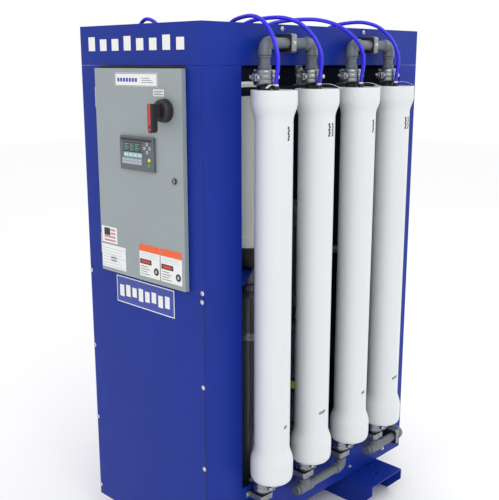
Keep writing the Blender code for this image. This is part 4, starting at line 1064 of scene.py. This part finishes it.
for x, y in [(MX, y) for y in (-0.342, -0.298, -0.205, 0.135)] + [(PX, PY)]:
    manifold.turned([(0, MZ), (0.0100, MZ), (0.0100, MZ + 0.020), (0.0112, MZ + 0.022),
                     (0.0112, MZ + 0.032), (0.0096, MZ + 0.037), (0.0088, MZ + 0.0408), (0, MZ + 0.0408)],
                    BLACK, 32, (x, y, 0), soft=(0.0007, 2))
manifold.done("permeate_manifold")

# %% [markdown]
# ## Pipe clamps
# Each crossover rests in a black cushion block, held to the cabinet by a bent galvanised strap
# with a bolt. The same clamps hold the four upright nipples against the skirt.

# %% Clamps
FRONT = PORT_X + PIPE_R + 0.0040


def clamp(piece, y, z, half_w, upright=False):
    lo, hi = (HW + 0.0006, -half_w, -0.0262), (FRONT, half_w, 0.0262)
    strap = [(HW + 0.0006, 0.0420), (HW + 0.0006, 0.0272), (FRONT - 0.004, 0.0272),
             (FRONT + 0.0006, 0.0230), (FRONT + 0.0006, -0.0230),
             (FRONT - 0.004, -0.0272), (HW + 0.0006, -0.0272), (HW + 0.0006, -0.0420)]
    outer = [(HW + 0.0028, 0.0420), (HW + 0.0028, 0.0292), (FRONT - 0.003, 0.0292),
             (FRONT + 0.0024, 0.0240), (FRONT + 0.0024, -0.0240),
             (FRONT - 0.003, -0.0292), (HW + 0.0028, -0.0292), (HW + 0.0028, -0.0420)]
    if not upright:
        strap, outer = strap[1:-1], outer[1:-1]
    spot = Matrix.Translation((0, y, z))
    if upright:
        spot = spot @ Matrix.Rotation(math.radians(90), 4, "X")
    block = rounded_box(lo, hi, 0.0022, 3)
    piece.add(block, RUBBER, spot)
    piece.add(extrude(strap + outer[::-1], "Y", -half_w + 0.0006, half_w - 0.0006, 0.0006, 2), GALV, spot)


for node, y0, y1 in (("pipe_clamp_front", PORT_Y[0], PORT_Y[1]), ("pipe_clamp_rear", PORT_Y[2], PORT_Y[3])):
    piece = Piece(node + "_detail", slot="galvanised")
    clamp(piece, (y0 + y1) / 2, TOP_Z, 0.0125)
    piece.done(node)
low_clamps = Piece("skirt_clamps", slot="galvanised")
for y in PORT_Y:
    clamp(low_clamps, y, 0.1560, 0.0110, upright=True)
clamp(low_clamps, 0.453, LOW_Z, 0.0100)
low_clamps.done()
places = [((FRONT + 0.0024, (y0 + y1) / 2, TOP_Z), (1, 0, 0)) for y0, y1 in ((PORT_Y[0], PORT_Y[1]),
        (PORT_Y[2], PORT_Y[3]))]
places += [((HW + 0.0028, y + s * 0.0355, 0.1560), (1, 0, 0)) for y in PORT_Y for s in (-1, 1)]
scatter("clamp_screws", hex_bolt(0.008, 0.0045), places, BOLT)

# %% [markdown]
# ## Blue permeate tubes
# These tubes carry the clean water from each vessel's centre port over the cabinet's edge. They
# are held at both ends, so their route is fixed; the curve passes through the same points as the
# solid tube. A node tree sweeps a circle along the curve, which is the usual way to model hose.

# %% Tubes from curves


def tube_tree():
    inputs = (("Path", "Geometry"), ("Radius", "Float"), ("Sides", "Int"), ("Finish", "Material"))
    tree, inside, outside = new_tree("sweep_tube", inputs)
    new, link = tree.nodes.new, tree.links.new
    to_curve, swept = new("GeometryNodeMeshToCurve"), new("GeometryNodeCurveToMesh")
    circle = new("GeometryNodeCurvePrimitiveCircle")
    real, finish = new("GeometryNodeRealizeInstances"), new("GeometryNodeSetMaterial")
    swept.inputs["Fill Caps"].default_value = True
    link(inside.outputs["Path"], to_curve.inputs["Mesh"])
    link(inside.outputs["Radius"], circle.inputs["Radius"])
    link(inside.outputs["Sides"], circle.inputs["Resolution"])
    link(to_curve.outputs["Curve"], swept.inputs["Curve"])
    link(circle.outputs["Curve"], swept.inputs["Profile Curve"])
    link(swept.outputs["Mesh"], real.inputs["Geometry"])
    link(real.outputs["Geometry"], finish.inputs["Geometry"])
    link(inside.outputs["Finish"], finish.inputs["Material"])
    link(finish.outputs["Geometry"], outside.inputs["Geometry"])
    return tree


TUBES = tube_tree()


TUBE_R, TUBE_SIDES, TUBE_STEP = 0.0064, 28, 0.005


def swept_tube(name, points, node):
    """Sweep a blue tube through the points, in place of a solid node; return its length."""
    route = [p + OFFSET for p in curve_points(points, TUBE_STEP)]
    mesh = bpy.data.meshes.new("path")
    mesh.from_pydata(route, [(i, i + 1) for i in range(len(route) - 1)], [])
    values = {"Radius": TUBE_R, "Sides": TUBE_SIDES, "Finish": TUBE}
    place(name, bake_tree(TUBES, mesh, values), nodes=(node,), slot="blue_tube", angle=50)
    return sum((b - a).length for a, b in zip(route, route[1:]))


SEAT = MZ + 0.041
for number, (y0, y1) in enumerate(zip((-0.342, -0.298, -0.205, 0.135), VESSEL_Y), start=1):
    x1 = VESSEL_X + 0.007
    profile = [(MX, SEAT + 0.0008), (MX + 0.0002, 1.690), (0.177, 1.728), (0.203, 1.750), (0.242, 1.7610),
               (0.289, 1.7640), (0.328, 1.752),
               (0.356, 1.729), (0.380, 1.694), (0.396, 1.652), (0.399, 1.615), (0.3945, 1.585),
               (x1 + 0.0003, 1.565), (x1, TOP + 0.0108)]
    points = [(x, y0 + (y1 - y0) * min((x - MX) / (x1 - MX), 1), z) for x, z in profile]
    length = swept_tube(f"blue_tube_{number}", points, f"permeate_tube_{number}")
    print("blue tube", number, round(length, 3), "m")
points = [(PX, PY, SEAT + 0.0012), (PX - 0.002, PY, 1.700), (-0.128, PY, 1.745), (-0.158, PY, 1.765),
          (-0.196, PY, 1.7690), (-0.229, PY, 1.745),
          (-0.247, PY, 1.700), (-0.255, PY, 1.620), (-0.255, PY, 1.4804)]
swept_tube("blue_product_tube", points, "product_tube")

# %% [markdown]
# ## Inner rail
# Dark valve bodies on a rail show in the gaps between the top couplings. Their black is partly painted
# shade, and the rail itself is painted shade, darkening the space behind the couplings. They are one
# block and one knob, repeated along the rail at uneven steps.

# %% Rail with valve bodies
RAIL_X, KNOB_FOOT = 0.2540, 1.552
rail = Piece("inner_rail", slot="galvanised")
# The rail is painted shade: near-black, darkening the space behind the couplings.
rail.block((0.2700, -0.3960, 1.520), (0.2745, 0.4560, 1.548), PAINTED_SHADE, 0.0008, 2)
for k, y in enumerate((-0.255, -0.205, -0.075, -0.020, 0.030, 0.165, 0.215)):
    tall = 0.046 if k % 2 else 0.062
    rail.block((0.2380, y - 0.014, 1.522), (0.2705, y + 0.014, 1.552), BLACK, 0.0030, 3)
    rail.turned([(0, 1.548), (0.0100, 1.548), (0.0100, KNOB_FOOT + tall * 0.4),
                 (0.0130, 1.554 + tall * 0.4), (0.0130, KNOB_FOOT + tall), (0, KNOB_FOOT + tall)], ZINC
                if k % 3 else BLACK, 32, (RAIL_X, y, 0), soft=(0.0012, 2))
rail.done()
print("inner rail done")

# %% [markdown]
# ## Tube tags
# A white strip is tied round the foot of each tube. It is a thin bar whose rows rise a little and
# then droop, so that it lies across the rim.

# %% Tags
tags = Piece("tube_tags", slot="white_frp")
for y, turn, tilt, length in ((-0.342, 0, 6, 0.036), (-0.134, 122, 12, 0.068), (0.093, 117, 12, 0.064),
                              (0.303, 126, 10, 0.060)):
    tag = bmesh.new()
    rows = []
    for k in range(13):
        t = k / 12
        u = 0.006 + length * t
        w = 0.0058 * (1 - 0.12 * t)
        lift = 0.004 * math.sin(math.pi * t) - 0.020 * t * t * tilt / 16
        rows.append([tag.verts.new((u, s * w, lift + up)) for up in (0, 0.0009) for s in (-1, 1)])
    for a, b in zip(rows, rows[1:]):
        for i, j in ((0, 1), (1, 3), (3, 2), (2, 0)):
            tag.faces.new((a[i], a[j], b[j], b[i]))
    tag.faces.new((rows[0][0], rows[0][1], rows[0][3], rows[0][2]))
    tag.faces.new((rows[-1][0], rows[-1][1], rows[-1][3], rows[-1][2]))
    bmesh.ops.recalc_face_normals(tag, faces=tag.faces)
    spot = spin((VESSEL_X + 0.007, y, TOP + 0.0125), math.radians(turn - 90), "Z")
    tags.add(tag, WHITE, spot)
    tags.ring((0.0066, 0.0080), (-0.003, 0.003), WHITE, 28, (0, 0, 0), soft=(0.0006, 2),
              spot=Matrix.Translation((VESSEL_X + 0.007, y, TOP + 0.0135)))
tags.done()
print("tags done")

# %% [markdown]
# ## Inside the cabinet
# Between the vessels the pump, the prefilter and the canister below it can be seen. The pump is
# a vertical multistage type: a bright sleeve between two castings, a coupling guard, and a finned
# motor on top. The fins repeat round the motor in a loop, and leave room for the terminal box.

# %% Pump
px, py = PUMP
casing = Piece("pump_body", slot="pump_steel")
casing.block((px - 0.095, py - 0.080, 0.0036), (px + 0.095, py + 0.080, 0.038), MOTOR, 0.004, 3)
casing.turned([(0.0110, 0.0382), (0.066, 0.0382), (0.070, 0.060), (0.070, 0.150), (0.060, 0.160),
               (0.060, 0.175), (0.0110, 0.175)], MOTOR, 64, (px, py, 0), soft=(0.003, 3))
casing.ring((0.0110, 0.0575), (0.170, 0.562), STEEL, 72, (px, py, 0))
casing.ring((0.0576, 0.0592), (0.322, 0.352), LIME, 72, (px, py, 0))
casing.ring((0.0576, 0.0590), (0.354, 0.366), INK, 72, (px, py, 0))
casing.turned([(0.0110, 0.558), (0.066, 0.558), (0.070, 0.568), (0.070, 0.5955), (0.0110, 0.5955)], MOTOR,
              64, (px, py, 0), soft=(0.002, 3))
for s in (-1, 1):
    casing.block((px + s * 0.052 - 0.010, py - 0.012, 0.592), (px + s * 0.052 + 0.010, py + 0.012, 0.682),
                 MOTOR, 0.002, 2)
casing.ring((0.030, 0.075), (0.678, 0.690), MOTOR, 64, (px, py, 0), soft=(0.001, 2))
casing.ring((0, 0.0228), (0.040, 0.0975), MOTOR, 40, (px, py, LOW_Z), "Y", soft=(0.001, 2))
casing.ring((0, 0.0228), (-0.1045, -0.040), MOTOR, 40, (px, py, LOW_Z), "X", soft=(0.001, 2))
casing.done("pump_casing")
scatter("pump_tie_bolts", hex_bolt(0.013, 0.009),
        [((px + 0.062 * math.cos(a), py + 0.062 * math.sin(a), 0.5957)
        , (0, 0, 1)) for a in (math.radians(45 + 90 * k) for k in range(4))], BOLT)
motor = Piece("pump_motor_body", slot="motor_paint")
motor.turned([(0.0110, 0.6908), (0.0745, 0.6908), (0.0745, 0.7120), (0.0690, 0.7160), (0.0690, 1.0000),
              (0.0745, 1.0040), (0.0745, 1.0200), (0.0760, 1.0200), (0.0760, 1.0700), (0.0700, 1.0860),
              (0.0240, 1.0860), (0.0240, 1.0812), (0.0700, 1.0812), (0.0725, 1.0700), (0.0725, 1.0225),
              (0.0110, 1.0225)], MOTOR, 72, (px, py, 0), soft=(0.0015, 2))
motor.block((px + 0.066, py - 0.044, 0.830), (px + 0.1178, py + 0.044, 0.930), MOTOR, 0.004, 3)
for k in range(14):
    ring_r = 0.030 + 0.0030 * k
    if k % 2 == 0:
        motor.ring((ring_r, ring_r + 0.0012), (1.0830, 1.0864), BLACK, 56, (px, py, 0))
motor.done("pump_motor")
fin = rounded_box((-0.0009, -0.005, 0), (0.0009, 0.005, 0.279), 0.0004, 1)
fins = Piece("motor_fins", slot="motor_paint")
for k in range(40):
    a = 2 * math.pi * k / 40
    if abs(math.atan2(math.sin(a), math.cos(a))) > 0.42:
        fins.add(fin.copy(), MOTOR, spin((px + 0.0740 * math.cos(a), py + 0.0740 * math.sin(a), 0.719),
                                         a - math.pi / 2, "Z"))
fin.free()
fins.done()
rotor = Piece("pump_rotor_detail", "pump_rotor", "pump_steel")
rotor.turned([(0, 0.060), (0.0078, 0.060), (0.0078, 0.610), (0.0238, 0.610), (0.0238, 0.668),
              (0.0078, 0.668), (0.0078, 1.034), (0.0200, 1.034), (0.0200, 1.070), (0, 1.070)], STEEL, 48,
             (px, py, 0), soft=(0.0012, 2))
for k in range(6):
    rotor.block((0.018, -0.0014, 1.0365), (0.063, 0.0014, 1.0675), BLACK, 0.0008, 2,
                spot=spin((px, py, 0), math.radians(60 * k), "Z"))
for s in (-1, 1):
    rotor.ring((0, 0.0035), (-0.0245, 0.0245), BOLT, 16, (px, py, 0.639 + s * 0.014), "X")
rotor.done("pump_shaft")

# %% [markdown]
# ## Prefilter and canister
# The white prefilter housing is moulded, so its wall has draft, a ribbed collar and a domed end.
# The dark canister under it is spun steel with a clamp band round its shoulder.

# %% Prefilter and canister
fx, fy = 0.150, -0.215
sump = Piece("prefilter_housing", slot="filter_white")
sump.turned([(0, 1.0002), (0.0698, 1.0002), (0.0698, 1.0380), (0.0662, 1.0440), (0.0658, 1.4980),
             (0.0640, 1.5180), (0.0580, 1.5380), (0.0450, 1.5520), (0.0250, 1.5600), (0, 1.5618)], SUMP,
            80, (fx, fy, 0), soft=(0.004, 4))
for k in range(30):
    a = 2 * math.pi * k / 30
    sump.block((0.0685, -0.0020, 1.004), (0.0699, 0.0020, 1.036), SUMP, 0.0006, 1,
               spot=spin((fx, fy, 0), a, "Z"))
sump.done("prefilter_sump")
head = Piece("prefilter_head_detail", slot="black_plastic")
head.turned([(0, 0.9216), (0.052, 0.9216), (0.066, 0.936), (0.0718, 0.965), (0.0718, 0.9994),
             (0, 0.9994)], BLACK, 72, (fx, fy, 0), soft=(0.003, 3))
head.ring((0, 0.0230), (-0.0998, 0), BLACK, 40, (fx, fy, 0.960), "X", soft=(0.0015, 2))
head.ring((0, 0.0204), (0.8606, 0.930), PVC, 40, (fx, fy, 0))
head.done("prefilter_head")
can = Piece("booster_canister_detail", slot="motor_paint")
can.turned([(0, 0.0036), (0.0738, 0.0036), (0.0738, 0.034), (0.0680, 0.040), (0.0680, 0.640),
            (0.0674, 0.660), (0.0700, 0.664), (0.0700, 0.694), (0.0674, 0.698), (0.0680, 0.720),
            (0.0670, 0.780), (0.0560, 0.818), (0.0400, 0.834), (0.0340, 0.835), (0.0340, 0.8598),
            (0, 0.8598)], CANISTER, 80, (fx, fy, 0), soft=(0.004, 3))
can.turned([(0.0690, 0.6650), (0.0726, 0.6650), (0.0729, 0.6790), (0.0726, 0.6930), (0.0690, 0.6930)],
           GALV, 80, (fx, fy, 0), soft=(0.0008, 2))
can.ring((0, 0.0340), (0.842, 0.846), STEEL, 48, (fx, fy, 0), soft=(0.0008, 2))
can.done("booster_canister")

# %% [markdown]
# ## Back fittings
# Where a pipe leaves through sheet metal it passes a bulkhead fitting: a flange, a gasket and a
# big nut. They seal the hole and take the load of the customer's hose.

# %% Bulkhead fittings
fittings = Piece("bulkhead_fittings", slot="black_plastic")
for (x, z), r in zip(PORTS, (0.0167, 0.0134, 0.0167)):
    fittings.ring((r + 0.0006, 0.0290), (HD + 0.0004, HD + 0.0040), RUBBER, 48, (0, 0, 0), "Z",
                  soft=(0.0010, 2), spot=spin((x, 0, z), math.radians(-90), "X"))
    fittings.add(extrude(polygon(0.0300, 8, 22.5), "Z", HD + 0.0042, HD + 0.0200, 0.0016, 2), BLACK,
                 spin((x, 0, z), math.radians(-90), "X"))
    fittings.ring((r + 0.0006, r + 0.0065), (END_Y - 0.024, END_Y - 0.0004), PVC, 48, (0, 0, 0), "Z",
                  soft=(0.0010, 2), spot=spin((x, 0, z), math.radians(-90), "X"))
fittings.done()
grommets = Piece("pipe_grommets", slot="black_plastic")
for y in (PORT_Y[0], 0.505):
    grommets.ring((0.0170, 0.0250), (-0.0012, 0.0012), RUBBER, 48, (HW + 0.0016, y, LOW_Z), "X",
                  soft=(0.0008, 2))
grommets.done()
